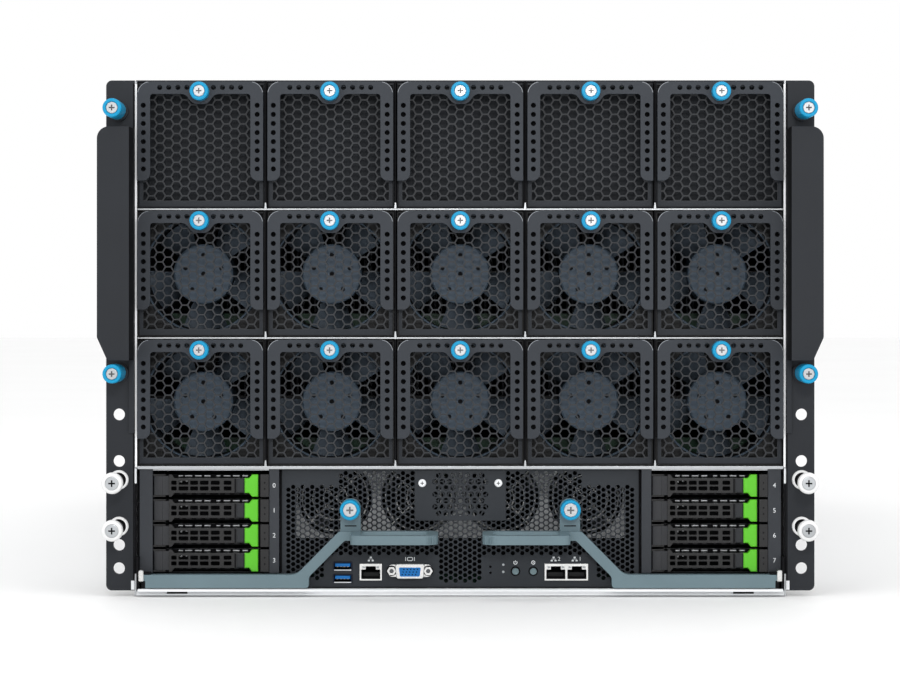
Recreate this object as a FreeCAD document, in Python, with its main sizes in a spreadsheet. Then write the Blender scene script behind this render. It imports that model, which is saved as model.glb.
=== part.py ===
import FreeCAD, Part
import math
import os
import re
import Sketcher

# Rack server of eight units with a slide-out base tray, drive carriers, fan modules and accelerators.
# Front faces -Y, base stands on Z = 0, the whole is centred on X and Y. All sizes in millimetres.

COLUMNS = 5
ROWS = 3
BLADES = 5
BLADE_ROOT = (0.62, 0.12, 0.84)
BLADE_TIP = (0.69, 0.16, 0.74)
BLADE_BOW = 0.12
BLADE_SLANT = 1.2
DRIVES = 4
LEVER_SLOTS = 6
PSU_COLUMNS = 6
TRAY_FANS = 6
MEMORY_ROW = 4
GPU_COLUMNS = 4
V = FreeCAD.Vector
ALONG_Y = FreeCAD.Rotation(V(1, 0, 0), -90)
ALONG_Z = FreeCAD.Rotation()

DIMENSIONS = {
    # chassis shell, cover, deck
    "chassis_width": 444.0,
    "chassis_height": 352.0,
    "chassis_depth": 860.0,
    "wall_gauge": 1.2,
    "chassis_setback": 1.0,
    "cover_setback": 8.0,
    "tray_bay_height": 86.1,
    "cage_gauge": 1.0,
    "fan_cage_depth": 66.0,
    "slide_gap": 0.5,
    # rack ears and handles
    "rack_panel_width": 482.6,
    "rack_hole_span": 465.1,
    "rack_hole_dia": 8.0,
    "rack_unit_height": 44.45,
    "hole_in_unit_low": 6.35,
    "hole_in_unit_mid": 22.225,
    "hole_in_unit_top": 38.1,
    "unit_below_base": 3.4,
    "ear_gauge": 3.0,
    "ear_bottom": 3.7,
    "ear_corner": 4.0,
    "ear_top_drop": 0.8,
    "ear_flange_gauge": 2.0,
    "ear_flange_depth": 70.0,
    "handle_reach": 28.0,
    "handle_gauge": 2.5,
    "handle_width": 21.5,
    "handle_bottom": 161.0,
    "handle_length": 157.0,
    "handle_round": 8.0,
    "handle_edge_round": 3.0,
    "handle_bevel_width": 7.0,
    "handle_bevel_height": 15.5,
    "handle_clearance": 1.3,
    "handle_foot_width": 3.5,
    "handle_foot_gauge": 2.0,
    "handle_foot_drop": 50.0,
    # captive screws on the ears
    "ear_cap_dia": 12.4,
    "ear_cap_length": 25.0,
    "ear_cap_reach": 36.0,
    "ear_core_dia": 8.6,
    "ear_shank_dia": 5.0,
    "rack_head_dia": 14.4,
    "rack_head_length": 8.0,
    "rack_head_reach": 36.0,
    "rack_shank_dia": 6.0,
    "ferrule_dia": 13.2,
    "ferrule_length": 2.5,
    "thread_length": 9.0,
    "screw_play": 0.3,
    "screw_fit": 0.2,
    "core_setback": 0.4,
    "overrun": 1.0,
    # fan module front
    "bracket_gap": 3.0,
    "bracket_proud": 3.0,
    "bracket_gauge": 2.0,
    "bracket_height": 67.4,
    "bracket_leg": 8.6,
    "bracket_bar": 8.4,
    "bracket_corner": 8.5,
    "bracket_foot_round": 5.0,
    "bracket_inner_round": 2.0,
    "bracket_hole_dia": 3.5,
    "bracket_hole_pitch": 6.18,
    "bracket_hole_inset": 4.0,
    "bar_hole_start": 9.0,
    "leg_hole_start": 16.2,
    "bracket_return": 2.2,
    "boss_drop": 15.2,
    "boss_half_width": 5.0,
    "boss_spread": 10.0,
    "boss_round": 6.0,
    "screw_drop": 7.0,
    "module_cap_dia": 12.4,
    "module_cap_length": 9.0,
    "module_core_dia": 8.6,
    "module_shank_dia": 4.0,
    "mesh_setback": 5.0,
    "mesh_gauge": 1.2,
    "mesh_inset": 1.0,
    "mesh_side_border": 2.6,
    "mesh_end_border": 4.1,
    "hex_pitch": 6.56,
    "hex_web": 0.95,
    # fan module body and rotor
    "module_wall": 1.2,
    "fan_setback": 10.0,
    "fan_depth": 46.0,
    "fan_bore": 78.5,
    "tip_gap": 0.8,
    "hub_setback": 2.5,
    "hub_dia": 41.0,
    "hub_length": 34.0,
    "hub_wall": 1.5,
    "blade_gauge": 1.6,
    "shaft_dia": 4.0,
    "bearing_play": 0.05,
    "bearing_wall": 2.5,
    "tube_gap": 3.0,
    "motor_base_dia": 38.0,
    "motor_base_gauge": 4.0,
    "strut_width": 5.0,
    "blade_overlap": 4.0,
    "blade_turn": 18.0,
    "blank_setback": 9.0,
    "fan_board_height": 16.0,
    "fan_board_gauge": 2.0,
    # base tray
    "tray_side_gap": 0.7,
    "tray_lift": 2.2,
    "tray_gauge": 1.2,
    "tray_depth": 560.0,
    "tray_setback": 5.0,
    "tray_wall_height": 60.0,
    "panel_setback": 6.0,
    "panel_gauge": 1.2,
    "panel_bottom": 5.4,
    "panel_top": 86.0,
    "panel_side_gap": 0.3,
    # drive cages and carriers
    "bank_wall_gap": 0.2,
    "bank_width": 95.0,
    "post_wide": 8.8,
    "post_narrow": 6.6,
    "post_setback": 2.0,
    "bank_depth": 150.0,
    "bank_bottom": 15.4,
    "bank_foot_setback": 12.0,
    "bank_gauge": 1.0,
    "bank_top_room": 2.6,
    "carrier_gap": 0.3,
    "carrier_base": 16.2,
    "carrier_height": 15.3,
    "carrier_pitch": 17.05,
    "carrier_depth": 136.0,
    "bezel_setback": 1.0,
    "drive_width": 69.85,
    "drive_depth": 100.2,
    "drive_height": 12.8,
    "drive_setback": 22.0,
    "rail_width": 4.2,
    "sled_plate_setback": 10.0,
    "sled_plate_gauge": 1.5,
    "sled_edge": 0.5,
    "rail_inset": 1.0,
    "pin_inset": 4.5,
    "pin_dia": 2.2,
    "lug_gauge": 1.0,
    "lug_reach": 4.0,
    "lug_setback": 1.5,
    "lug_play": 0.3,
    "knuckle_radius": 4.2,
    "lever_gauge": 5.0,
    "lever_length": 58.0,
    "lever_notch": 2.6,
    "lever_clear": 5.5,
    "lever_shoulder": 2.5,
    "lever_slope": 2.0,
    "lever_slot_start": 3.0,
    "lever_slot_end": 8.0,
    "lever_slot_web": 1.2,
    "lever_slot_rim": 0.9,
    "lever_slot_round": 0.6,
    "lever_edge_round": 0.5,
    "latch_length": 10.2,
    "latch_neck": 3.0,
    "latch_slope": 2.0,
    "latch_proud": 0.2,
    "latch_extra": 0.8,
    "latch_gap": 0.6,
    "hinge_play": 0.05,
    # cam levers
    "cam_pivot_x": 213.5,
    "cam_pivot_setback": 1.0,
    "cam_pin_dia": 4.0,
    "cam_bar_depth": 8.0,
    "cam_bar_bottom": 5.8,
    "cam_bar_height": 9.0,
    "cam_bar_end_x": 103.0,
    "cam_arm_low_x": 111.5,
    "cam_arm_high_x": 82.4,
    "cam_arm_round": 10.0,
    "cam_arm_drop": 1.5,
    "cam_arm_heel": 3.9,
    "cam_bar_round": 5.0,
    "cam_edge_round": 2.0,
    "cam_top_round": 4.0,
    "cam_screw_x": 74.7,
    "cam_screw_z": 59.4,
    "cam_tab_width": 13.8,
    "cam_tab_depth": 4.0,
    "cam_tab_overlap": 2.0,
    "cam_tab_flat": 0.5,
    "cam_cap_dia": 13.4,
    "cam_cap_length": 12.0,
    "cam_core_dia": 9.2,
    "cam_shank_dia": 4.0,
    "cam_shank_play": 0.7,
    "grip_reach": 36.0,
    "grip_top": 44.2,
    "grip_height": 6.2,
    "grip_start_x": 73.7,
    "grip_end_x": 15.0,
    "grip_wall": 7.0,
    "grip_round": 9.0,
    "grip_near_round": 6.0,
    "grip_inner_round": 4.0,
    "cam_lug_gauge": 1.2,
    "cam_lug_length": 8.2,
    "cam_lug_gap": 0.4,
    "cam_lug_cutback": 1.5,
    "cam_cheek_rise": 12.0,
    "cam_cheek_lap": 2.0,
    # front panel sockets and buttons
    "port_gap": 0.2,
    "port_proud": 0.8,
    "port_depth": 20.0,
    "port_back_gap": 0.2,
    "port_rim": 0.5,
    "port_seat": 0.6,
    "usb_x": -80.4,
    "usb_width": 12.8,
    "usb_height": 5.8,
    "usb_low_z": 11.2,
    "usb_high_z": 19.6,
    "usb_room_depth": 11.0,
    "usb_rim": 0.5,
    "tongue_inset": 1.2,
    "tongue_gauge": 1.8,
    "tongue_lift": 0.2,
    "tongue_setback": 0.6,
    "mgmt_x": -61.2,
    "mgmt_width": 15.2,
    "lan_x": 72.5,
    "lan_width": 29.7,
    "jack_z": 15.6,
    "jack_height": 11.4,
    "jack_hole_width": 11.8,
    "jack_hole_height": 8.0,
    "jack_hole_depth": 15.0,
    "jack_spacing": 14.4,
    "video_x": -34.4,
    "video_z": 16.6,
    "video_width": 31.0,
    "video_height": 10.2,
    "video_shell_width": 15.6,
    "video_shell_height": 7.2,
    "video_shell_reach": 5.0,
    "power_x": 37.7,
    "ident_x": 49.9,
    "button_z": 16.2,
    "button_dia": 4.0,
    "button_play": 0.5,
    "button_proud": 1.2,
    "button_length": 9.0,
    "button_travel": 0.8,
    "switch_rim": 1.5,
    "switch_depth": 8.0,
    "lamp_x": 29.4,
    "lamp_low_z": 15.7,
    "lamp_high_z": 20.6,
    "pinhole_x": 20.6,
    "pinhole_low_z": 15.1,
    "pinhole_high_z": 19.2,
    "small_hole_dia": 1.8,
    "lamp_block_width": 4.0,
    "lamp_block_depth": 5.0,
    "lamp_block_rise": 2.0,
    "io_board_depth": 60.0,
    "io_board_gauge": 1.6,
    "io_board_width": 210.0,
    "io_foot_inset": 6.0,
    "io_foot_setback": 8.0,
    "io_foot_pitch": 40.0,
    "service_width": 62.0,
    "service_bottom": 50.8,
    "service_height": 34.6,
    "service_gauge": 1.0,
    "service_screw_x": 26.0,
    "service_screw_z": 76.5,
    "service_screw_dia": 5.2,
    "service_screw_proud": 1.6,
    # inside the tray
    "tray_fan_size": 60.0,
    "tray_fan_gap": 1.0,
    "tray_fan_setback": 160.0,
    "tray_fan_depth": 38.0,
    "tray_fan_bore": 57.0,
    "tray_hub_dia": 28.0,
    "tray_hub_length": 24.0,
    "tray_hub_setback": 3.0,
    "tray_hub_room": 8.0,
    "tray_shaft_length": 28.0,
    "tray_base_step": 4.0,
    "tray_seat_height": 19.0,
    "board_width": 410.0,
    "board_depth": 330.0,
    "board_gauge": 2.4,
    "board_setback": 215.0,
    "board_lift": 6.0,
    "standoff_dia": 7.0,
    "standoff_inset": 10.0,
    "cooler_width": 92.0,
    "cooler_depth": 116.0,
    "cooler_height": 52.0,
    "cooler_x": 100.0,
    "cooler_setback": 310.0,
    "memory_length": 133.0,
    "memory_height": 31.0,
    "memory_gauge": 4.6,
    "memory_pitch": 8.0,
    "memory_gap": 6.0,
    "memory_lead": 8.0,
    # accelerators
    "gpu_board_width": 424.0,
    "gpu_board_depth": 500.0,
    "gpu_board_gauge": 3.2,
    "gpu_board_lift": 12.0,
    "gpu_board_setback": 250.0,
    "gpu_sink_width": 94.0,
    "gpu_sink_depth": 215.0,
    "gpu_sink_height": 205.0,
    "gpu_sink_pitch_x": 104.0,
    "gpu_sink_pitch_y": 245.0,
    "sink_base": 9.0,
    "sink_fin": 1.8,
    "sink_fin_pitch": 4.6,
    # rear panel and power supplies
    "rear_gauge": 1.2,
    "rear_border": 12.0,
    "rear_hex_pitch": 16.0,
    "rear_hex_web": 2.6,
    "slot_zone_height": 92.0,
    "slot_width": 14.0,
    "slot_height": 72.0,
    "slot_pitch": 36.0,
    "slot_plate_gauge": 1.0,
    "slot_plate_lap": 2.5,
    "psu_depth": 185.0,
    "psu_gap": 0.8,
    "psu_shelf_gauge": 1.0,
    "psu_handle_reach": 26.0,
    "psu_handle_width": 26.0,
    "psu_handle_gauge": 5.0,
    "psu_inlet_width": 27.0,
    "psu_inlet_height": 19.0,
    "psu_inlet_depth": 3.5,
    "psu_middle_gap": 4.0,
}

LAYOUT = {
    "inner_width": "chassis_width - 2 * wall_gauge",
    "front_reach": "max(max(grip_reach; ear_cap_reach); max(rack_head_reach; handle_reach))",
    "front_y": "(front_reach - chassis_depth - psu_handle_reach) / 2",
    "rear_y": "front_y + chassis_depth",
    "shell_y": "front_y + chassis_setback",
    "cage_end_y": "shell_y + fan_cage_depth",
    "deck_z": "wall_gauge + tray_bay_height",
    "fan_floor_z": "deck_z + cage_gauge",
    "cover_z": "chassis_height - wall_gauge",
    "bay_height": f"(cover_z - fan_floor_z - {ROWS - 1} * cage_gauge) / {ROWS}",
    "bay_width": f"(inner_width - {COLUMNS - 1} * cage_gauge) / {COLUMNS}",
    "row_pitch": "bay_height + cage_gauge",
    "column_pitch": "bay_width + cage_gauge",
    "module_width": "bay_width - 2 * slide_gap",
    "module_height": "bay_height - 2 * slide_gap",
    "module_top": "slide_gap + module_height",
    "bracket_width": "column_pitch - bracket_gap",
    "bracket_y": "shell_y - bracket_proud",
    "mesh_y": "shell_y + mesh_setback",
    "body_y": "mesh_y + mesh_gauge",
    "fan_axis_z": "bay_height / 2",
    "fan_y": "body_y + fan_setback",
    "hub_y": "fan_y + hub_setback",
    "module_depth": "fan_setback + fan_depth",
    "front_wall": "module_wall + mesh_inset",
    "ear_height": "chassis_height - ear_top_drop - ear_bottom",
    "handle_inner_x": "inner_width / 2 + handle_clearance",
    "hole_x": "rack_hole_span / 2",
    "free_z1": "hole_in_unit_mid - unit_below_base",
    "free_z2": "hole_in_unit_top - unit_below_base",
    "free_z3": "2 * rack_unit_height + hole_in_unit_low - unit_below_base",
    "free_z4": "2 * rack_unit_height + hole_in_unit_top - unit_below_base",
    "rack_z1": "rack_unit_height + hole_in_unit_low - unit_below_base",
    "rack_z2": "rack_unit_height + hole_in_unit_top - unit_below_base",
    "thumb_z1": "3 * rack_unit_height + hole_in_unit_mid - unit_below_base",
    "thumb_z2": "7 * rack_unit_height + hole_in_unit_mid - unit_below_base",
    "tray_width": "inner_width - 2 * tray_side_gap",
    "tray_z": "wall_gauge + tray_lift",
    "tray_floor_z": "tray_z + tray_gauge",
    "bank_x": "tray_width / 2 - tray_gauge - bank_wall_gap - bank_width",
    "bank_top": "carrier_base + 3 * carrier_pitch + carrier_height + bank_top_room",
    "panel_width": "2 * (bank_x - panel_side_gap)",
    "panel_y": "front_y + panel_setback",
    "carrier_width": "bank_width - post_wide - post_narrow - 2 * carrier_gap",
    "bezel_y": "front_y + bezel_setback",
    "cam_y": "front_y - cam_pivot_setback",
    "cam_back_y": "cam_y + cam_bar_depth / 2",
    "io_board_z": "usb_low_z - usb_height / 2 - port_seat - io_board_gauge",
    "board_z": "tray_floor_z + board_lift",
    "board_top_z": "board_z + board_gauge",
    "deck_top_z": "deck_z + cage_gauge",
    "gpu_board_z": "deck_top_z + gpu_board_lift",
    "gpu_top_z": "gpu_board_z + gpu_board_gauge",
    "psu_pitch": f"inner_width / {PSU_COLUMNS}",
    "psu_width": "psu_pitch - 2 * psu_gap",
    "psu_room": "(tray_bay_height - psu_shelf_gauge) / 2",
    "psu_height": "psu_room - 2 * psu_gap",
    "rear_panel_y": "rear_y - rear_gauge",
}

doc = FreeCAD.newDocument("rack_server")
HOME = {}


def link(text):
    """Expression text with every size name led back to its spreadsheet."""
    return re.sub(r"[a-z_][a-z0-9_]*", lambda m: HOME.get(m[0], "") + m[0], text)


def fill_sheet(label, rows, formula):
    sheet = doc.addObject("Spreadsheet::Sheet", label)
    for row, (alias, content) in enumerate(rows.items(), 1):
        HOME[alias] = label + "."
        sheet.set(f"A{row}", alias)
        sheet.set(f"B{row}", "=" + link(content) if formula else str(content))
        sheet.setAlias(f"B{row}", alias)
    doc.recompute()
    return sheet


SHEETS = {
    "dims.": fill_sheet("dims", DIMENSIONS, False),
    "layout.": fill_sheet("layout", LAYOUT, True),
}


def size(alias):
    """Number held under a size name."""
    return float(SHEETS[HOME[alias]].get(alias))


def place(item, at, turn=ALONG_Z):
    item.Placement = FreeCAD.Placement(V(), turn)
    for axis, text in zip("xyz", at):
        item.setExpression("Placement.Base." + axis, link(text))
    return item


def box(name, sides, at):
    item = doc.addObject("Part::Box", name)
    for side, text in zip(("Length", "Width", "Height"), sides):
        item.setExpression(side, link(text))
    return place(item, at)


def rod(name, dia, length, at, turn=ALONG_Y):
    item = doc.addObject("Part::Cylinder", name)
    item.setExpression("Radius", link(f"({dia}) / 2"))
    item.setExpression("Height", link(length))
    return place(item, at, turn)


def group(name, parts, at=("0", "0", "0")):
    item = doc.addObject("Part::Compound", name)
    item.Links = list(parts)
    return place(item, at)


def fuse(name, *parts):
    item = doc.addObject("Part::MultiFuse", name)
    item.Shapes = list(parts)
    item.Refine = True
    return item


def cut(name, base, *tools):
    item = doc.addObject("Part::Cut", name)
    item.Base = base
    item.Tool = tools[0] if len(tools) == 1 else fuse(name + "_tools", *tools)
    return item


def mirror(name, source):
    item = doc.addObject("Part::Mirroring", name)
    item.Source = source
    item.Normal = V(1, 0, 0)
    return item


def feature(name, shape, at):
    item = doc.addObject("Part::Feature", name)
    item.Shape = shape
    return place(item, at)


# Outlines drawn in the XZ plane and drawn out along Y, for shapes that no primitive gives

def outline(corners):
    """Closed wire through corners (x, z, radius), each corner rounded by its own radius."""
    spans = []
    count = len(corners)
    for k, (x, z, radius) in enumerate(corners):
        here = V(x, 0, z)
        if radius == 0:
            spans.append((here, None, here))
            continue
        before = (V(corners[k - 1][0], 0, corners[k - 1][1]) - here).normalize()
        after = (V(corners[(k + 1) % count][0], 0, corners[(k + 1) % count][1]) - here).normalize()
        half = before.getAngle(after) / 2
        reach = radius / math.tan(half)
        middle = here + (before + after).normalize() * (radius / math.sin(half) - radius)
        spans.append((here + before * reach, middle, here + after * reach))
    edges = []
    for k, (start, middle, end) in enumerate(spans):
        if middle is not None:
            edges.append(Part.Arc(start, middle, end).toShape())
        following = spans[(k + 1) % count][0]
        if (following - end).Length > 1e-6:
            edges.append(Part.makeLine(end, following))
    return Part.Wire(edges)


def rectangle(x0, z0, x1, z1):
    return outline([(x0, z0, 0), (x1, z0, 0), (x1, z1, 0), (x0, z1, 0)])


def ring(x, z, dia):
    return Part.Wire([Part.makeCircle(dia / 2, V(x, 0, z), V(0, 1, 0))])


def prism(wires, depth):
    face = Part.makeFace(wires, "Part::FaceMakerBullseye")
    return face.extrude(V(0, depth, 0))


def clip(points, axis, limit, keep_low):
    """Polygon cut off at a limit on one axis."""
    kept = []
    for k, here in enumerate(points):
        last = points[k - 1]
        inside = here[axis] <= limit if keep_low else here[axis] >= limit
        was_inside = last[axis] <= limit if keep_low else last[axis] >= limit
        if inside != was_inside:
            share = (limit - last[axis]) / (here[axis] - last[axis])
            kept.append(tuple(a + share * (b - a) for a, b in zip(last, here)))
        if inside:
            kept.append(here)
    return kept


def hexagons(x0, z0, x1, z1, pitch, web):
    """Hexagon wires of a mesh that fills a window, cut off at the window's edges."""
    radius = (pitch - web) / math.sqrt(3)
    step = pitch * math.sqrt(3) / 2
    middle = (x0 + x1) / 2
    wires = []
    reach = math.ceil((x1 - x0) / 2 / step)
    for column in range(-reach, reach + 1):
        x = middle + column * step
        z = z0 - pitch / 2 * (column % 2)
        while z < z1 + pitch:
            points = [(x + radius * math.cos(math.pi / 3 * k), z + radius * math.sin(math.pi / 3 * k))
                      for k in range(6)]
            for axis, limit, keep_low in ((0, x0, False), (0, x1, True), (1, z0, False), (1, z1, True)):
                points = clip(points, axis, limit, keep_low)
            if points:
                tall = max(p[1] for p in points) - min(p[1] for p in points)
                wide = max(p[0] for p in points) - min(p[0] for p in points)
                if min(tall, wide) > web:
                    wires.append(outline([(px, pz, 0) for px, pz in points]))
            z += pitch
    return wires


# Sketch-based bodies

def start_body(name):
    return doc.addObject("PartDesign::Body", name)


def start_sketch(body, name):
    """Sketch on the body's own XZ plane, whose normal points to -Y."""
    sketch = body.newObject("Sketcher::SketchObject", name)
    plane = [item for item in body.Origin.OriginFeatures if item.Role == "XZ_Plane"][0]
    sketch.AttachmentSupport = [(plane, "")]
    sketch.MapMode = "FlatFace"
    return sketch


def bind(sketch, kind, target, text):
    """Distance, radius or diameter constraint tied to a size."""
    index = sketch.addConstraint(Sketcher.Constraint(kind, *target, 10.0))
    sketch.setExpression(f"Constraints[{index}]", link(text))


def draw_rectangle(sketch, x, z, wide, tall):
    corners = [V(1, 1, 0), V(11, 1, 0), V(11, 11, 0), V(1, 11, 0)]
    first = sketch.GeometryCount
    for k in range(4):
        sketch.addGeometry(Part.LineSegment(corners[k], corners[(k + 1) % 4]))
    for k in range(4):
        sketch.addConstraint(Sketcher.Constraint("Coincident", first + k, 2, first + (k + 1) % 4, 1))
    for k in (0, 2):
        sketch.addConstraint(Sketcher.Constraint("Horizontal", first + k))
        sketch.addConstraint(Sketcher.Constraint("Vertical", first + k + 1))
    bind(sketch, "DistanceX", (-1, 1, first, 1), x)
    bind(sketch, "DistanceY", (-1, 1, first, 1), z)
    bind(sketch, "DistanceX", (first, 1, first, 2), wide)
    bind(sketch, "DistanceY", (first + 1, 1, first + 1, 2), tall)


def draw_circle(sketch, x, z, dia):
    index = sketch.addGeometry(Part.Circle(V(10, 10, 0), V(0, 0, 1), 5))
    bind(sketch, "DistanceX", (-1, 1, index, 3), x)
    bind(sketch, "DistanceY", (-1, 1, index, 3), z)
    bind(sketch, "Diameter", (index,), dia)


def pad(body, sketch, length):
    """Material from the sketch towards +Y."""
    item = body.newObject("PartDesign::Pad", sketch.Name + "_pad")
    item.Profile = sketch
    item.setExpression("Length", link(length))
    item.Reversed = True
    sketch.Visibility = False
    return item


def pocket(body, sketch):
    """Opening from the sketch towards +Y through everything."""
    item = body.newObject("PartDesign::Pocket", sketch.Name + "_pocket")
    item.Profile = sketch
    item.Type = "ThroughAll"
    sketch.Visibility = False
    return item


def upright_edges(item, at_x, z_low, z_high):
    """Names of the edges that run along Y at the outer corners of a plate."""
    names = []
    for k, edge in enumerate(item.Shape.Edges, 1):
        ends = [vertex.Point for vertex in edge.Vertexes]
        if len(ends) == 2 and abs(ends[0].x - at_x) < 1e-6 and abs(ends[0].x - ends[1].x) < 1e-6:
            level = abs(ends[0].z - ends[1].z) < 1e-6
            if level and min(abs(ends[0].z - z_low), abs(ends[0].z - z_high)) < 1e-6:
                names.append(f"Edge{k}")
    return names


PARTS = {}

# Chassis shell: floor and two side walls bent from one sheet
shell_block = box("shell_block", ("chassis_width", "chassis_depth - chassis_setback", "cover_z"),
                  ("-chassis_width / 2", "shell_y", "0"))
shell_room = box("shell_room", ("inner_width", "chassis_depth + 2 * overrun", "chassis_height"),
                 ("-inner_width / 2", "shell_y - overrun", "wall_gauge"))
PARTS["chassis_shell"] = cut("chassis_shell", shell_block, shell_room)

# Cover: plain sheet that lies on the side walls and slides off to the rear
cover_sheet = box("cover_sheet", ("chassis_width", "chassis_depth - cover_setback", "wall_gauge"),
                  ("-chassis_width / 2", "front_y + cover_setback", "cover_z"))
PARTS["top_cover"] = group("top_cover", [cover_sheet])

# Deck over the tray and shelf between the two rows of power supplies
deck = box("deck", ("inner_width", "rear_panel_y - cage_end_y", "cage_gauge"),
           ("-inner_width / 2", "cage_end_y", "deck_z"))
psu_shelf = box("psu_shelf", ("inner_width", "psu_depth", "psu_shelf_gauge"),
                ("-inner_width / 2", "rear_y - psu_depth", "wall_gauge + psu_room"))
PARTS["inner_deck"] = group("inner_deck", [deck, psu_shelf])

# Fan cage: shelves, dividers and the fan power boards behind the bays
cage = []
for row in range(ROWS):
    level = f"fan_floor_z + {row} * row_pitch"
    cage.append(box(f"shelf_{row}", ("inner_width", "fan_cage_depth", "cage_gauge"),
                    ("-inner_width / 2", "shell_y", level + " - cage_gauge")))
    for column in range(1, COLUMNS):
        left = f"-inner_width / 2 + {column} * column_pitch - cage_gauge"
        cage.append(box(f"divider_{row}_{column}", ("cage_gauge", "fan_cage_depth", "bay_height"),
                        (left, "shell_y", level)))
    cage.append(box(f"fan_board_{row}", ("inner_width", "fan_board_gauge", "fan_board_height"),
                    ("-inner_width / 2", "cage_end_y", level)))
PARTS["fan_cage"] = group("fan_cage", cage)

# Rack ear, right-hand one: plate, flange on the chassis side, rack holes
ear_body = start_body("ear_body")
ear_sketch = start_sketch(ear_body, "ear_outline")
draw_rectangle(ear_sketch, "chassis_width / 2", "ear_bottom",
               "(rack_panel_width - chassis_width) / 2", "ear_height")
pad(ear_body, ear_sketch, "ear_gauge")
flange_sketch = start_sketch(ear_body, "flange_outline")
draw_rectangle(flange_sketch, "chassis_width / 2", "ear_bottom", "ear_flange_gauge", "ear_height")
pad(ear_body, flange_sketch, "ear_flange_depth")
ear_holes = start_sketch(ear_body, "ear_holes")
for level in ("free_z1", "free_z2", "free_z3", "free_z4"):
    draw_circle(ear_holes, "hole_x", level, "rack_hole_dia")
for level in ("rack_z1", "rack_z2"):
    draw_circle(ear_holes, "hole_x", level, "rack_shank_dia + 2 * screw_play")
for level in ("thumb_z1", "thumb_z2"):
    draw_circle(ear_holes, "hole_x", level, "ear_shank_dia + 2 * screw_play")
ear_drilled = pocket(ear_body, ear_holes)
doc.recompute()
ear_rounds = ear_body.newObject("PartDesign::Fillet", "ear_rounds")
ear_rounds.Base = (ear_drilled, upright_edges(ear_drilled, size("rack_panel_width") / 2,
                                              size("ear_bottom"), size("ear_bottom") + size("ear_height")))
ear_rounds.setExpression("Radius", link("ear_corner"))
place(ear_body, ("0", "front_y", "0"))

# Pull handle of the right-hand ear: foot on the ear, web standing forward, front plate turned outward
handle_foot = box("handle_foot",
                  ("handle_foot_width", "handle_foot_gauge", "handle_length + handle_foot_drop"),
                  ("handle_inner_x", "front_y - handle_foot_gauge", "handle_bottom - handle_foot_drop"))
handle_web = box("handle_web", ("handle_gauge", "handle_reach", "handle_length"),
                 ("handle_inner_x", "front_y - handle_reach", "handle_bottom"))
inner_x = size("handle_inner_x")
outer_x = inner_x + size("handle_width")
handle_low = size("handle_bottom")
handle_high = handle_low + size("handle_length")
handle_face = feature("handle_face", prism([outline([
    (inner_x, handle_low, 0),
    (outer_x - size("handle_bevel_width"), handle_low, size("handle_edge_round")),
    (outer_x, handle_low + size("handle_bevel_height"), size("handle_edge_round")),
    (outer_x, handle_high, size("handle_round")),
    (inner_x, handle_high, 0)])], size("handle_gauge")), ("0", "front_y - handle_reach", "0"))
handle = fuse("handle", handle_foot, handle_web, handle_face)
PARTS["rack_ear_right"] = group("rack_ear_right", [ear_body, handle])
PARTS["rack_ear_left"] = mirror("rack_ear_left", PARTS["rack_ear_right"])


# Captive screws: knurled cap or plain head, metal core, shank through the ear, collar on the ear
def thumbscrew(name, cap_dia, cap_length, core_dia, shank_dia, shank_length):
    """Screw with its cap's back face at y = 0, the cap towards -Y and the shank towards +Y."""
    cap = cut(name + "_cap",
              rod(name + "_cap_round", cap_dia, cap_length, ("0", f"-({cap_length})", "0")),
              rod(name + "_cap_bore", f"{core_dia} + screw_fit", f"{cap_length} + 2 * overrun",
                  ("0", f"-({cap_length}) - overrun", "0")))
    core = fuse(name + "_core",
                rod(name + "_core_head", core_dia, f"{cap_length} - core_setback",
                    ("0", f"core_setback - ({cap_length})", "0")),
                rod(name + "_core_shank", shank_dia, f"{shank_length} + overrun", ("0", "-overrun", "0")))
    return [cap, core]


ear_screw = thumbscrew("ear_screw", "ear_cap_dia", "ear_cap_length", "ear_core_dia", "ear_shank_dia",
                       "ear_cap_reach - ear_cap_length + ear_gauge + thread_length")
ear_collar = cut("ear_collar",
                 rod("ear_collar_round", "ferrule_dia", "ferrule_length",
                     ("0", "ear_cap_reach - ear_cap_length - ferrule_length", "0")),
                 rod("ear_collar_bore", "ear_shank_dia + screw_fit", "ear_cap_reach", ("0", "0", "0")))
rack_head = fuse("rack_head",
                 rod("rack_head_round", "rack_head_dia", "rack_head_length", ("0", "-rack_head_reach", "0")),
                 rod("rack_shank", "rack_shank_dia", "rack_head_reach + ear_gauge + thread_length - overrun",
                     ("0", "overrun - rack_head_reach", "0")))
rack_collar = cut("rack_collar",
                  rod("rack_collar_round", "ferrule_dia", "ferrule_length", ("0", "-ferrule_length", "0")),
                  rod("rack_collar_bore", "rack_shank_dia + screw_fit", "ferrule_length + 2 * overrun",
                      ("0", "-ferrule_length - overrun", "0")))
ear_screws = []
rack_screws = []
for side in ("-hole_x", "hole_x"):
    for level in ("thumb_z1", "thumb_z2"):
        ear_screws.append(group("ear_screw_set", ear_screw + [ear_collar],
                                (side, "front_y - ear_cap_reach + ear_cap_length", level)))
    for level in ("rack_z1", "rack_z2"):
        rack_screws.append(group("rack_screw_set", [rack_head, rack_collar], (side, "front_y", level)))
PARTS["ear_thumbscrews"] = group("ear_thumbscrews", ear_screws)
PARTS["rack_screws"] = group("rack_screws", rack_screws)

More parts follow.
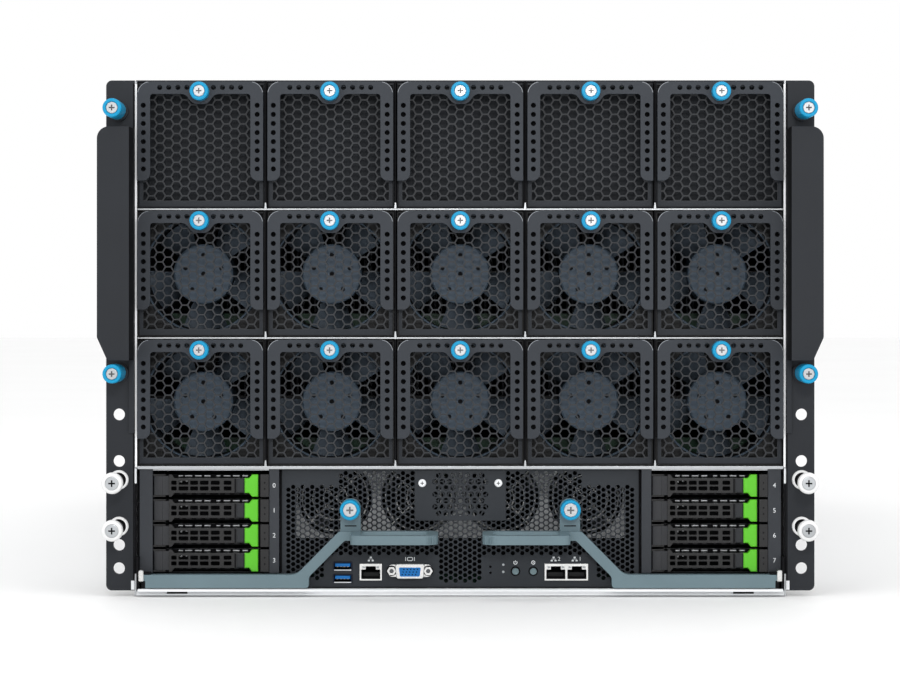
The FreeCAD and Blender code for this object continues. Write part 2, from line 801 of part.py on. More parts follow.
# Fan module front: bracket with a row of holes and a boss for its thumbscrew, drawn about the bay's middle
half = size("bracket_width") / 2
top = size("module_top")
low = top - size("bracket_height")
leg = half - size("bracket_leg")
bar = top - size("bracket_bar")
boss = top - size("boss_drop")
screw_z = top - size("screw_drop")
corner = size("bracket_corner")
foot_round = size("bracket_foot_round")
inner_round = size("bracket_inner_round")
boss_round = size("boss_round")
spread = size("boss_spread")
boss_half = size("boss_half_width")
bracket_wires = [outline([
    (-half, low, 0), (-half, top, corner), (half, top, corner), (half, low, 0),
    (leg, low, foot_round), (leg, bar, inner_round), (spread, bar, boss_round),
    (boss_half, boss, boss_round), (-boss_half, boss, boss_round), (-spread, bar, boss_round),
    (-leg, bar, inner_round), (-leg, low, foot_round)])]
bracket_wires.append(ring(0, screw_z, size("module_shank_dia") + 2 * size("screw_fit")))
pitch = size("bracket_hole_pitch")
inset = size("bracket_hole_inset")
bar_start = size("bar_hole_start")
leg_start = size("leg_hole_start")
hole_dia = size("bracket_hole_dia")
bar_holes = int((half - corner - hole_dia / 2 - bar_start) / pitch) + 1
leg_holes = int((size("bracket_height") - leg_start - hole_dia) / pitch) + 1
for sign in (-1, 1):
    for k in range(bar_holes):
        bracket_wires.append(ring(sign * (bar_start + k * pitch), top - inset, hole_dia))
    for k in range(leg_holes):
        bracket_wires.append(ring(sign * (half - inset), top - leg_start - k * pitch, hole_dia))
bracket_face = feature("bracket_face", prism(bracket_wires, size("bracket_gauge")), ("0", "bracket_y", "0"))
return_deep = "mesh_y - bracket_y - bracket_gauge"
returns = []
for name, left in (("left", "-bracket_width / 2"), ("right", "bracket_width / 2 - bracket_return")):
    returns.append(box(f"bracket_return_{name}",
                       ("bracket_return", return_deep, "bracket_height - bracket_corner"),
                       (left, "bracket_y + bracket_gauge", "module_top - bracket_height")))
returns.append(box("bracket_return_top",
                   ("bracket_width - 2 * bracket_corner", return_deep, "bracket_return + mesh_inset"),
                   ("bracket_corner - bracket_width / 2", "bracket_y + bracket_gauge",
                    "module_top - bracket_return - mesh_inset")))
bracket = fuse("bracket", bracket_face, *returns)

# Hexagon mesh behind the bracket
mesh_half = size("module_width") / 2 - size("mesh_inset")
mesh_low = size("slide_gap") + size("mesh_inset")
mesh_top = top - size("mesh_inset")
side = size("mesh_side_border")
end = size("mesh_end_border")
mesh_wires = [rectangle(-mesh_half, mesh_low, mesh_half, mesh_top)]
mesh_wires += hexagons(side - mesh_half, mesh_low + end, mesh_half - side, mesh_top - side,
                       size("hex_pitch"), size("hex_web"))
mesh = feature("mesh", prism(mesh_wires, size("mesh_gauge")), ("0", "mesh_y", "0"))


# Fan frame: block with a round bore, spokes that carry the motor base and its bearing tube
def fan_frame(name, wide, tall, deep, bore, base_dia, at_y, at_z, hub_room):
    """Frame standing with its front at at_y, the bore's axis on x = 0 at height at_z."""
    base_y = f"{at_y} + {deep} - motor_base_gauge"
    block = box(name + "_block", (wide, deep, tall), (f"-({wide}) / 2", at_y, f"{at_z} - ({tall}) / 2"))
    hole = rod(name + "_hole", bore, f"{deep} + 2 * overrun", ("0", f"{at_y} - overrun", at_z))
    spokes = [
        box(name + "_spoke_x", (f"({wide} + {bore}) / 2", "motor_base_gauge", "strut_width"),
            (f"-({wide} + {bore}) / 4", base_y, f"{at_z} - strut_width / 2")),
        box(name + "_spoke_z", ("strut_width", "motor_base_gauge", f"({tall} + {bore}) / 2"),
            ("-strut_width / 2", base_y, f"{at_z} - ({tall} + {bore}) / 4"))]
    base = rod(name + "_base", base_dia, "motor_base_gauge", ("0", base_y, at_z))
    tube_length = f"{deep} - ({hub_room})"
    tube = rod(name + "_tube", "shaft_dia + 2 * bearing_play + 2 * bearing_wall", tube_length,
               ("0", f"{at_y} + {hub_room}", at_z))
    bearing = rod(name + "_bearing", "shaft_dia + 2 * bearing_play", f"{deep} + 2 * overrun",
                  ("0", f"{at_y} - overrun", at_z))
    frame = fuse(name + "_frame", cut(name + "_open", block, hole), base, tube, *spokes)
    return cut(name, frame, bearing)


def blade_section(radius, wide, front, back, gauge):
    """Thin curved section of a blade, square to the radius."""
    bow = wide * BLADE_BOW
    middle = (front + back) / 2
    ahead = [V(radius, front, -wide / 2), V(radius, middle - bow, 0), V(radius, back, wide / 2)]
    behind = [point + V(0, gauge * BLADE_SLANT, 0) for point in ahead]
    return Part.Wire([
        Part.Arc(*ahead).toShape(),
        Part.makeLine(ahead[2], behind[2]),
        Part.Arc(behind[2], behind[1], behind[0]).toShape(),
        Part.makeLine(behind[0], ahead[0])])


def rotor_shape(tip_dia, hub_dia, hub_length, shaft_length):
    """Hub cup, shaft and twisted blades about the Y axis, the hub's front face at y = 0."""
    hub = Part.makeCylinder(hub_dia / 2, hub_length, V(0, 0, 0), V(0, 1, 0))
    wall = size("hub_wall")
    cup = Part.makeCylinder(hub_dia / 2 - wall, hub_length, V(0, wall, 0), V(0, 1, 0))
    shaft = Part.makeCylinder(size("shaft_dia") / 2, shaft_length, V(0, wall / 2, 0), V(0, 1, 0))
    solid = hub.cut(cup).fuse(shaft)
    gauge = size("blade_gauge")
    root = hub_dia / 2 - wall / 2
    past_tip = tip_dia / 2 + size("blade_overlap")
    sections = ((root, root, BLADE_ROOT), (past_tip, tip_dia / 2, BLADE_TIP))
    ends = []
    for radius, reach, (share, front, back) in sections:
        wide = 2 * math.pi * reach / BLADES * share
        ends.append(blade_section(radius, wide, front * hub_length, back * hub_length, gauge))
    blade = Part.makeLoft(ends, True, True)
    rim = Part.makeCylinder(tip_dia / 2, 2 * hub_length, V(0, -hub_length / 2, 0), V(0, 1, 0))
    blade = blade.common(rim)
    for k in range(BLADES):
        turned = blade.copy()
        turned.rotate(V(0, 0, 0), V(0, 1, 0), 360 / BLADES * k + size("blade_turn"))
        solid = solid.fuse(turned)
    return solid


# Fan body: fan frame with square walls that stand forward to the mesh; closed box for the blank modules
wall_block = box("wall_block", ("module_width", "fan_setback", "module_height"),
                 ("-module_width / 2", "body_y", "slide_gap"))
open_wide = "module_width - 2 * front_wall"
open_tall = "module_height - 2 * front_wall"
wall_room = box("wall_room", (open_wide, "fan_setback + 2 * overrun", open_tall),
                ("front_wall - module_width / 2", "body_y - overrun", "slide_gap + front_wall"))
fan_body = fuse(
    "fan_body",
    fan_frame("main_fan", "module_width", "module_height", "fan_depth", "fan_bore", "motor_base_dia",
              "fan_y", "fan_axis_z", "hub_setback + hub_wall + tube_gap"),
    cut("front_walls", wall_block, wall_room))
module_screw = group("module_screw", thumbscrew(
    "fan_screw", "module_cap_dia", "module_cap_length", "module_core_dia", "module_shank_dia",
    "mesh_y - bracket_y - overrun"), ("0", "bracket_y", "module_top - screw_drop"))
rotor_master = feature("rotor_master", rotor_shape(
    size("fan_bore") - 2 * size("tip_gap"), size("hub_dia"), size("hub_length"),
    size("fan_depth") - size("hub_setback") - size("hub_wall")), ("0", "hub_y", "fan_axis_z"))
blank_block = box("blank_block", ("module_width", "module_depth", "module_height"),
                  ("-module_width / 2", "body_y", "slide_gap"))
blank_front = box("blank_front", (open_wide, "blank_setback + overrun", open_tall),
                  ("front_wall - module_width / 2", "body_y - overrun", "slide_gap + front_wall"))
blank_back = box("blank_back",
                 ("module_width - 2 * module_wall", "module_depth", "module_height - 2 * module_wall"),
                 ("module_wall - module_width / 2", "body_y + blank_setback + module_wall",
                  "slide_gap + module_wall"))
blank_box = cut("blank_box", blank_block, blank_front, blank_back)
blanks = []
for column in range(COLUMNS):
    across = f"{column - (COLUMNS - 1) / 2} * column_pitch"
    for row, row_name in ((0, "lower"), (1, "upper")):
        seat = (across, "0", f"fan_floor_z + {row} * row_pitch")
        module = f"fan_module_{row_name}_{column + 1}"
        rotor = f"fan_rotor_{row_name}_{column + 1}"
        PARTS[module] = group(module, [bracket, mesh, fan_body, module_screw], seat)
        PARTS[rotor] = group(rotor, [rotor_master], seat)
    blanks.append(group(f"blank_{column}", [bracket, mesh, blank_box, module_screw],
                        (across, "0", f"fan_floor_z + {ROWS - 1} * row_pitch")))
PARTS["fan_blanks"] = group("fan_blanks", blanks)

# Tray pan: floor, side walls, and at each front corner two lugs with the cam lever's pivot pin
pan_block = box("pan_block", ("tray_width", "tray_depth", "tray_wall_height"),
                ("-tray_width / 2", "front_y + tray_setback", "tray_z"))
pan_room = box("pan_room", ("tray_width - 2 * tray_gauge", "tray_depth + 2 * overrun", "tray_wall_height"),
               ("tray_gauge - tray_width / 2", "front_y + tray_setback - overrun", "tray_floor_z"))
pan_parts = [cut("pan_sheet", pan_block, pan_room)]
lug_wide = "cam_lug_length + tray_gauge / 2"
for name, sign in (("left", -1), ("right", 1)):
    outer = f"{sign} * tray_width / 2 - {(sign + 1) / 2} * tray_gauge"
    pan_parts.append(box(f"cam_cheek_{name}",
                         ("tray_gauge", "cam_bar_depth + tray_setback + cam_cheek_lap",
                          "cam_bar_bottom + cam_bar_height + cam_cheek_rise - tray_z"),
                         (outer, "cam_back_y - cam_bar_depth", "tray_z")))
    lug_x = f"{sign} * (tray_width / 2 - tray_gauge / 2) - {(sign + 1) / 2} * ({lug_wide})"
    for label, level in (("low", "cam_bar_bottom - cam_lug_gap - cam_lug_gauge"),
                         ("high", "cam_bar_bottom + cam_bar_height + cam_lug_gap")):
        pan_parts.append(box(f"cam_lug_{label}_{name}",
                             (lug_wide, "cam_bar_depth - cam_lug_cutback", "cam_lug_gauge"),
                             (lug_x, "cam_back_y - cam_bar_depth", level)))
    pan_parts.append(rod(f"cam_pin_{name}", "cam_pin_dia",
                         "cam_bar_height + 2 * cam_lug_gap + cam_lug_gauge",
                         (f"{sign} * cam_pivot_x", "cam_y",
                          "cam_bar_bottom - cam_lug_gap - cam_lug_gauge / 2"), ALONG_Z))
PARTS["tray_pan"] = fuse("tray_pan", *pan_parts)

# Tray front panel with openings for sockets, buttons, lamps and cam screws; service cover and its screws
panel_body = start_body("panel_body")
panel_sketch = start_sketch(panel_body, "panel_outline")
draw_rectangle(panel_sketch, "-panel_width / 2", "panel_bottom", "panel_width", "panel_top - panel_bottom")
pad(panel_body, panel_sketch, "panel_gauge")
panel_ports = start_sketch(panel_body, "panel_ports")
PORTS = (
    ("usb_x", "usb_low_z", "usb_width", "usb_height"),
    ("usb_x", "usb_high_z", "usb_width", "usb_height"),
    ("mgmt_x", "jack_z", "mgmt_width", "jack_height"),
    ("lan_x", "jack_z", "lan_width", "jack_height"),
    ("video_x", "video_z", "video_shell_width", "video_shell_height"),
)
for x, z, wide, tall in PORTS:
    draw_rectangle(panel_ports, f"{x} - {wide} / 2 - port_gap", f"{z} - {tall} / 2 - port_gap",
                   f"{wide} + 2 * port_gap", f"{tall} + 2 * port_gap")
pocket(panel_body, panel_ports)
panel_holes = start_sketch(panel_body, "panel_holes")
for x in ("power_x", "ident_x"):
    draw_circle(panel_holes, x, "button_z", "button_dia + 2 * button_play")
for x in ("lamp", "pinhole"):
    for level in ("low", "high"):
        draw_circle(panel_holes, f"{x}_x", f"{x}_{level}_z", "small_hole_dia")
for x in ("-cam_screw_x", "cam_screw_x"):
    draw_circle(panel_holes, x, "cam_screw_z", "cam_shank_dia + 2 * cam_shank_play")
pocket(panel_body, panel_holes)
place(panel_body, ("0", "panel_y", "0"))
service_plate = box("service_plate", ("service_width", "service_gauge", "service_height"),
                    ("-service_width / 2", "panel_y - service_gauge", "service_bottom"))
service_screws = [rod(f"service_screw_{k}", "service_screw_dia", "service_screw_proud",
                      (x, "panel_y - service_gauge - service_screw_proud", "service_screw_z"))
                  for k, x in enumerate(("-service_screw_x", "service_screw_x"))]
PARTS["tray_front_panel"] = group("tray_front_panel", [panel_body, service_plate] + service_screws)

# Drive cage, left-hand one: two posts that run back as guides, floor, roof and feet
left_x = "-bank_x - bank_width"
narrow_x = "-bank_x - post_narrow"
bank_tall = "bank_top - bank_bottom"
foot_tall = "bank_bottom - bank_gauge - tray_floor_z"
bank = [
    box("bank_post_wide", ("post_wide", "bank_depth", bank_tall),
        (left_x, "front_y + post_setback", "bank_bottom")),
    box("bank_post_narrow", ("post_narrow", "bank_depth", bank_tall),
        (narrow_x, "front_y + post_setback", "bank_bottom")),
    box("bank_floor", ("bank_width", "bank_depth - bank_foot_setback", "bank_gauge"),
        (left_x, "front_y + post_setback + bank_foot_setback", "bank_bottom - bank_gauge")),
    box("bank_roof", ("bank_width", "bank_depth", "bank_gauge"),
        (left_x, "front_y + post_setback", "bank_top")),
    box("bank_foot_wide", ("post_wide", "bank_depth - bank_foot_setback", foot_tall),
        (left_x, "front_y + post_setback + bank_foot_setback", "tray_floor_z")),
    box("bank_foot_narrow", ("post_narrow", "bank_depth - bank_foot_setback", foot_tall),
        (narrow_x, "front_y + post_setback + bank_foot_setback", "tray_floor_z")),
]
bank_left = group("bank_left", bank)
bank_right = mirror("bank_right", bank_left)
PARTS["drive_cages"] = group("drive_cages", [bank_left, bank_right])

# Drive carrier, drawn with its lower left front corner at the origin: sled, drive, lever and latch
rail_sides = ("rail_width", "carrier_depth - sled_plate_setback", "carrier_height - 2 * rail_inset")
lug_sides = ("pin_inset + lug_reach", "sled_plate_setback", "lug_gauge")
end_x = "pin_inset + lever_length + latch_length + latch_gap"
sled = fuse(
    "sled",
    box("sled_plate", ("carrier_width", "sled_plate_gauge", "carrier_height - 2 * sled_edge"),
        ("0", "sled_plate_setback", "sled_edge")),
    box("sled_rail_left", rail_sides, ("0", "sled_plate_setback", "rail_inset")),
    box("sled_rail_right", rail_sides, ("carrier_width - rail_width", "sled_plate_setback", "rail_inset")),
    box("sled_end", (f"carrier_width - ({end_x})", "sled_plate_setback + overrun", "carrier_height"),
        (end_x, "pin_inset - knuckle_radius", "0")),
    box("sled_lug_low", lug_sides, ("0", "lug_setback", "0")),
    box("sled_lug_high", lug_sides, ("0", "lug_setback", "carrier_height - lug_gauge")),
    rod("sled_pin", "pin_dia", "carrier_height - lug_gauge",
        ("pin_inset", "pin_inset", "lug_gauge / 2"), ALONG_Z))
drive = box("drive", ("drive_width", "drive_depth", "drive_height"),
            ("(carrier_width - drive_width) / 2", "drive_setback", "(carrier_height - drive_height) / 2"))
tall = size("carrier_height")
pin = size("pin_inset")
tip = pin + size("lever_length")
neck = size("lug_gauge") + size("lug_play")
notch = size("lever_notch")
clear = pin + size("lever_clear")
shoulder = clear + size("lever_shoulder")
waist = shoulder + size("lever_slope")
edge = size("lever_edge_round")
lever_wires = [outline([
    (pin, neck, 0), (clear, neck, 0), (clear, 0, 0), (shoulder, 0, 0), (waist, notch, edge),
    (tip, notch, 0), (tip, tall - notch, 0), (waist, tall - notch, edge), (shoulder, tall, 0),
    (clear, tall, 0), (clear, tall - neck, 0), (pin, tall - neck, 0)])]
slots_from = clear + size("lever_slot_start")
slot_web = size("lever_slot_web")
rim = notch + size("lever_slot_rim")
slot_round = size("lever_slot_round")
slot_pitch = (tip - size("lever_slot_end") - slots_from) / LEVER_SLOTS
for k in range(LEVER_SLOTS):
    left = slots_from + k * slot_pitch
    right = left + slot_pitch - slot_web
    for low, high in ((rim, (tall - slot_web) / 2), ((tall + slot_web) / 2, tall - rim)):
        lever_wires.append(outline([(left, low, slot_round), (right, low, slot_round),
                                    (right, high, slot_round), (left, high, slot_round)]))
front = pin - size("knuckle_radius")
lever_plate = prism(lever_wires, size("lever_gauge"))
lever_plate.translate(V(0, front, 0))
knuckle = Part.makeCylinder(size("knuckle_radius"), tall - 2 * neck, V(pin, pin, neck), V(0, 0, 1))
hinge_bore = Part.makeCylinder(size("pin_dia") / 2 + size("hinge_play"), tall, V(pin, pin, 0), V(0, 0, 1))
lever_shape = lever_plate.fuse(knuckle).cut(hinge_bore).removeSplitter()
carrier_lever = feature("carrier_lever", lever_shape, ("0", "0", "0"))
latch_end = tip + size("latch_length")
latch_neck = tip + size("latch_neck")
latch_waist = latch_neck + size("latch_slope")
latch_shape = prism([outline([
    (tip, notch, 0), (latch_neck, notch, 0), (latch_waist, 0, edge), (latch_end, 0, edge),
    (latch_end, tall, edge), (latch_waist, tall, edge), (latch_neck, tall - notch, 0),
    (tip, tall - notch, 0)])],
    size("lever_gauge") + size("latch_extra"))
carrier_latch = feature("carrier_latch", latch_shape, ("0", "pin_inset - knuckle_radius - latch_proud", "0"))
for bank_index, start in enumerate(("-bank_x - bank_width + post_wide + carrier_gap",
                                    "bank_x + post_narrow + carrier_gap")):
    for k in range(DRIVES):
        number = bank_index * DRIVES + k
        seat = (start, "bezel_y", f"carrier_base + {DRIVES - 1 - k} * carrier_pitch")
        PARTS[f"drive_carrier_{number}"] = group(f"drive_carrier_{number}", [sled, drive], seat)
        PARTS[f"drive_lever_{number}"] = group(f"drive_lever_{number}", [carrier_lever, carrier_latch], seat)

# Cam lever, left-hand one: bar from the pivot, rising arm, tab with a thumbscrew, grip loop standing forward
pivot_x = -size("cam_pivot_x")
bar_low = size("cam_bar_bottom")
bar_high = bar_low + size("cam_bar_height")
bar_end = -size("cam_bar_end_x")
grip_top = size("grip_top")
grip_low = grip_top - size("grip_height")
screw_x = -size("cam_screw_x")
tab = size("cam_tab_width") / 2
depth = size("cam_bar_depth")
edge_round = size("cam_edge_round")
arm = prism([outline([
    (pivot_x, bar_low, 0), (bar_end, bar_low, edge_round),
    (bar_end, bar_high - size("cam_arm_drop"), size("cam_bar_round")),
    (screw_x - size("cam_arm_heel"), grip_low, edge_round), (screw_x + tab, grip_low, 0),
    (screw_x + tab, grip_top, 0), (-size("cam_arm_high_x"), grip_top, size("cam_top_round")),
    (-size("cam_arm_low_x"), bar_high, size("cam_arm_round")), (pivot_x, bar_high, 0)])], depth)
arm.translate(V(0, -depth / 2, 0))
tab_top = size("cam_screw_z") + tab
tab_low = grip_top - size("cam_tab_overlap")
tab_round = tab - size("cam_tab_flat")
tab_wires = [outline([(screw_x - tab, tab_low, 0), (screw_x + tab, tab_low, 0),
                      (screw_x + tab, tab_top, tab_round), (screw_x - tab, tab_top, tab_round)]),
             ring(screw_x, size("cam_screw_z"), size("cam_shank_dia") + 2 * size("screw_fit"))]
tab_plate = prism(tab_wires, size("cam_tab_depth"))
tab_plate.translate(V(0, depth / 2 - size("cam_tab_depth"), 0))
grip_front = -(size("grip_reach") - size("cam_pivot_setback"))
grip_left = -size("grip_start_x")
grip_right = -size("grip_end_x")
wall = size("grip_wall")
grip_round = size("grip_round")
inner_round = size("grip_inner_round")
loop = prism([
    outline([(grip_left, -grip_front, size("grip_near_round")), (grip_right, -grip_front, grip_round),
             (grip_right, -depth / 2, grip_round), (grip_left, -depth / 2, 0)]),
    outline([(grip_left + wall, -grip_front - wall, inner_round),
             (grip_right - wall, -grip_front - wall, inner_round),
             (grip_right - wall, depth / 2, inner_round),
             (grip_left + wall, depth / 2, inner_round)])], size("grip_height"))
loop.rotate(V(0, 0, 0), V(1, 0, 0), 90)
loop.translate(V(0, 0, grip_low))
cam_knuckle = Part.makeCylinder(depth / 2, bar_high - bar_low, V(pivot_x, 0, bar_low), V(0, 0, 1))
cam_bore_radius = size("cam_pin_dia") / 2 + size("hinge_play")
cam_bore = Part.makeCylinder(cam_bore_radius, bar_high, V(pivot_x, 0, 0), V(0, 0, 1))
cam_shape = arm.fuse([tab_plate, loop, cam_knuckle]).cut(cam_bore).removeSplitter()
cam_arm = feature("cam_arm", cam_shape, ("0", "cam_y", "0"))
cam_screw = group("cam_screw", thumbscrew(
    "cam_screw", "cam_cap_dia", "cam_cap_length", "cam_core_dia", "cam_shank_dia",
    "cam_tab_depth + panel_y - cam_back_y + panel_gauge"),
    ("-cam_screw_x", "cam_back_y - cam_tab_depth", "cam_screw_z"))
PARTS["cam_lever_left"] = group("cam_lever_left", [cam_arm, cam_screw])
PARTS["cam_lever_right"] = mirror("cam_lever_right", PARTS["cam_lever_left"])

# Sockets on a small board behind the panel, each with a body on the board and a nose through the panel
nose_y = "panel_y - port_proud"
body_back = "panel_y + panel_gauge + port_back_gap"
board_top = "io_board_z + io_board_gauge"


def socket(name, x, wide, noses):
    """Socket body on the board with its noses, given as (z, height) pairs."""
    high_z, high_tall = noses[-1]
    parts = [box(name + "_body",
                 (f"{wide} + 2 * port_rim", "port_depth", f"{high_z} + {high_tall} / 2 - ({board_top})"),
                 (f"{x} - {wide} / 2 - port_rim", body_back, board_top))]
    for k, (z, tall) in enumerate(noses):
        parts.append(box(f"{name}_nose_{k}", (wide, "port_proud + panel_gauge + overrun", tall),
                         (f"{x} - {wide} / 2", nose_y, f"{z} - {tall} / 2")))
    return fuse(name + "_solid", *parts)


def jack_room(name, x):
    return box(name, ("jack_hole_width", "jack_hole_depth + overrun", "jack_hole_height"),
               (f"{x} - jack_hole_width / 2", nose_y + " - overrun", "jack_z - jack_hole_height / 2"))


usb_rooms = []
for k, z in enumerate(("usb_low_z", "usb_high_z")):
    slot = box(f"usb_room_{k}",
               ("usb_width - 2 * usb_rim", "usb_room_depth + overrun", "usb_height - 2 * usb_rim"),
               ("usb_x - usb_width / 2 + usb_rim", nose_y + " - overrun", f"{z} - usb_height / 2 + usb_rim"))
    tongue = box(f"usb_tongue_{k}",
                 ("usb_width - 2 * tongue_inset", "usb_room_depth + overrun", "tongue_gauge"),
                 ("usb_x - usb_width / 2 + tongue_inset", nose_y + " + tongue_setback",
                  f"{z} + tongue_lift"))
    usb_rooms.append(cut(f"usb_gap_{k}", slot, tongue))
usb_noses = [("usb_low_z", "usb_height"), ("usb_high_z", "usb_height")]
jack_nose = [("jack_z", "jack_height")]
usb = cut("usb", socket("usb", "usb_x", "usb_width", usb_noses), *usb_rooms)
mgmt = cut("mgmt", socket("mgmt", "mgmt_x", "mgmt_width", jack_nose), jack_room("mgmt_room", "mgmt_x"))
lan = cut("lan", socket("lan", "lan_x", "lan_width", jack_nose),
          jack_room("lan_room_a", "lan_x - jack_spacing / 2"),
          jack_room("lan_room_b", "lan_x + jack_spacing / 2"))
video_flange = box("video_flange", ("video_width", "port_proud", "video_height"),
                   ("video_x - video_width / 2", nose_y, "video_z - video_height / 2"))
video_shell = box("video_shell",
                  ("video_shell_width", "video_shell_reach + panel_gauge + overrun", "video_shell_height"),
                  ("video_x - video_shell_width / 2", "panel_y - video_shell_reach",
                   "video_z - video_shell_height / 2"))
video = fuse("video", socket("video", "video_x", "video_shell_width", [("video_z", "video_shell_height")]),
             video_flange, video_shell)
switch_y = "panel_y - button_proud + button_length + button_travel + port_back_gap"
switches = []
for k, x in enumerate(("power_x", "ident_x")):
    switches.append(box(f"switch_{k}",
                        ("button_dia + 2 * switch_rim", "switch_depth",
                         f"button_z + button_dia - ({board_top})"),
                        (f"{x} - button_dia / 2 - switch_rim", switch_y, board_top)))
lamps = []
for name in ("lamp", "pinhole"):
    lamps.append(box(f"{name}_block",
                     ("lamp_block_width", "lamp_block_depth",
                      f"{name}_high_z + lamp_block_rise - ({board_top})"),
                     (f"{name}_x - lamp_block_width / 2", body_back, board_top)))
io_board = box("io_board", ("io_board_width", "io_board_depth", "io_board_gauge"),
               ("-io_board_width / 2", body_back, "io_board_z"))
io_feet = []
for sign in (-1, 1):
    for row in (0, 1):
        io_feet.append(rod(f"io_foot_{sign + 1}_{row}", "standoff_dia", "io_board_z - tray_floor_z",
                           (f"{sign} * (io_board_width / 2 - io_foot_inset)",
                            f"panel_y + io_foot_setback + {row} * io_foot_pitch", "tray_floor_z"), ALONG_Z))
sockets = [usb, mgmt, lan, video]
PARTS["io_connectors"] = group("io_connectors", sockets + [io_board] + switches + lamps + io_feet)
for name, x in (("power_button", "power_x"), ("ident_button", "ident_x")):
    button = rod(name + "_stem", "button_dia", "button_length", (x, "panel_y - button_proud", "button_z"))
    PARTS[name] = group(name, [button])

# Row of tray fans behind the drive cages
small_z = "tray_floor_z + tray_seat_height + tray_fan_size / 2"
small_y = "front_y + tray_fan_setback"
small_frame = fan_frame("small_fan", "tray_fan_size", "tray_fan_size", "tray_fan_depth", "tray_fan_bore",
                        "tray_hub_dia - tray_base_step", small_y, small_z, "tray_hub_room")
small_rotor = feature("small_rotor", rotor_shape(
    size("tray_fan_bore") - 2 * size("tip_gap"), size("tray_hub_dia"), size("tray_hub_length"),
    size("tray_shaft_length")), ("0", small_y + " + tray_hub_setback", small_z))
fan_row = []
for k in range(TRAY_FANS):
    across = f"{k - (TRAY_FANS - 1) / 2} * (tray_fan_size + tray_fan_gap)"
    fan_row.append(group(f"small_fan_{k}", [small_frame, small_rotor], (across, "0", "0")))
row_width = f"{TRAY_FANS} * (tray_fan_size + tray_fan_gap)"
fan_row.append(box("fan_row_seat", (row_width, "tray_fan_depth", "tray_seat_height"),
                   (f"-{row_width} / 2", small_y, "tray_floor_z")))
PARTS["tray_fans"] = group("tray_fans", fan_row)


# Boards, memory and heat sinks
def comb_shape(wide, deep, tall, base, fin, pitch):
    """Heat sink: base plate with upright fins that run along Y, centred on x = 0, its base at z = 0."""
    fins = max(2, int((wide - fin) / pitch) + 1)
    gap = (wide - fins * fin) / (fins - 1)
    corners = [(-wide / 2, 0, 0), (wide / 2, 0, 0)]
    for k in range(fins):
        right = wide / 2 - k * (fin + gap)
        corners += [(right, base, 0), (right, tall, 0), (right - fin, tall, 0), (right - fin, base, 0)]
    ends = [corners[0], corners[1]] + corners[3:-1]
    return prism([outline(ends)], deep)


board_y = "front_y + board_setback"
board = box("board", ("board_width", "board_depth", "board_gauge"), ("-board_width / 2", board_y, "board_z"))
CORNERS = ((-1, 0), (1, 0), (-1, 1), (1, 1))
board_feet = []
for k, (across, along) in enumerate(CORNERS):
    board_feet.append(rod(f"board_foot_{k}", "standoff_dia", "board_lift",
                          (f"{across} * (board_width / 2 - standoff_inset)",
                           f"{board_y} + standoff_inset + {along} * (board_depth - 2 * standoff_inset)",
                           "tray_floor_z"), ALONG_Z))
memory = []
for sign in (-1, 1):
    for flank in (-1, 1):
        for k in range(MEMORY_ROW):
            across = (f"{sign} * cooler_x + {flank} * (cooler_width / 2 + memory_gap + {k} * memory_pitch)"
                      " - memory_gauge / 2")
            memory.append(box(f"memory_{sign + 1}_{flank + 1}_{k}",
                              ("memory_gauge", "memory_length", "memory_height"),
                              (across, "front_y + cooler_setback - memory_lead", "board_top_z")))
PARTS["motherboard"] = group("motherboard", [board] + board_feet + memory)
cooler = feature("cooler", comb_shape(size("cooler_width"), size("cooler_depth"), size("cooler_height"),
                                      size("sink_base"), size("sink_fin"), size("sink_fin_pitch")),
                 ("0", "0", "0"))
PARTS["cpu_heatsinks"] = group("cpu_heatsinks", [
    group(f"cooler_{k}", [cooler], (f"{sign} * cooler_x", "front_y + cooler_setback", "board_top_z"))
    for k, sign in enumerate((-1, 1))])
gpu_y = "front_y + gpu_board_setback"
gpu_board = box("gpu_board", ("gpu_board_width", "gpu_board_depth", "gpu_board_gauge"),
                ("-gpu_board_width / 2", gpu_y, "gpu_board_z"))
gpu_feet = []
for k, (across, along) in enumerate(CORNERS):
    gpu_feet.append(rod(f"gpu_foot_{k}", "standoff_dia", "gpu_board_lift",
                        (f"{across} * (gpu_board_width / 2 - standoff_inset)",
                         f"{gpu_y} + standoff_inset + {along} * (gpu_board_depth - 2 * standoff_inset)",
                         "deck_top_z"), ALONG_Z))
PARTS["gpu_baseboard"] = group("gpu_baseboard", [gpu_board] + gpu_feet)
gpu_sink = feature("gpu_sink", comb_shape(
    size("gpu_sink_width"), size("gpu_sink_depth"), size("gpu_sink_height"),
    size("sink_base"), size("sink_fin"), size("sink_fin_pitch")), ("0", "0", "0"))
PARTS["gpu_heatsinks"] = group("gpu_heatsinks", [
    group(f"gpu_sink_{column}_{row}", [gpu_sink],
          (f"{column - (GPU_COLUMNS - 1) / 2} * gpu_sink_pitch_x",
           f"{gpu_y} + gpu_board_depth / 2 + {row - 0.5} * gpu_sink_pitch_y - gpu_sink_depth / 2",
           "gpu_top_z"))
    for column in range(GPU_COLUMNS) for row in range(2)])

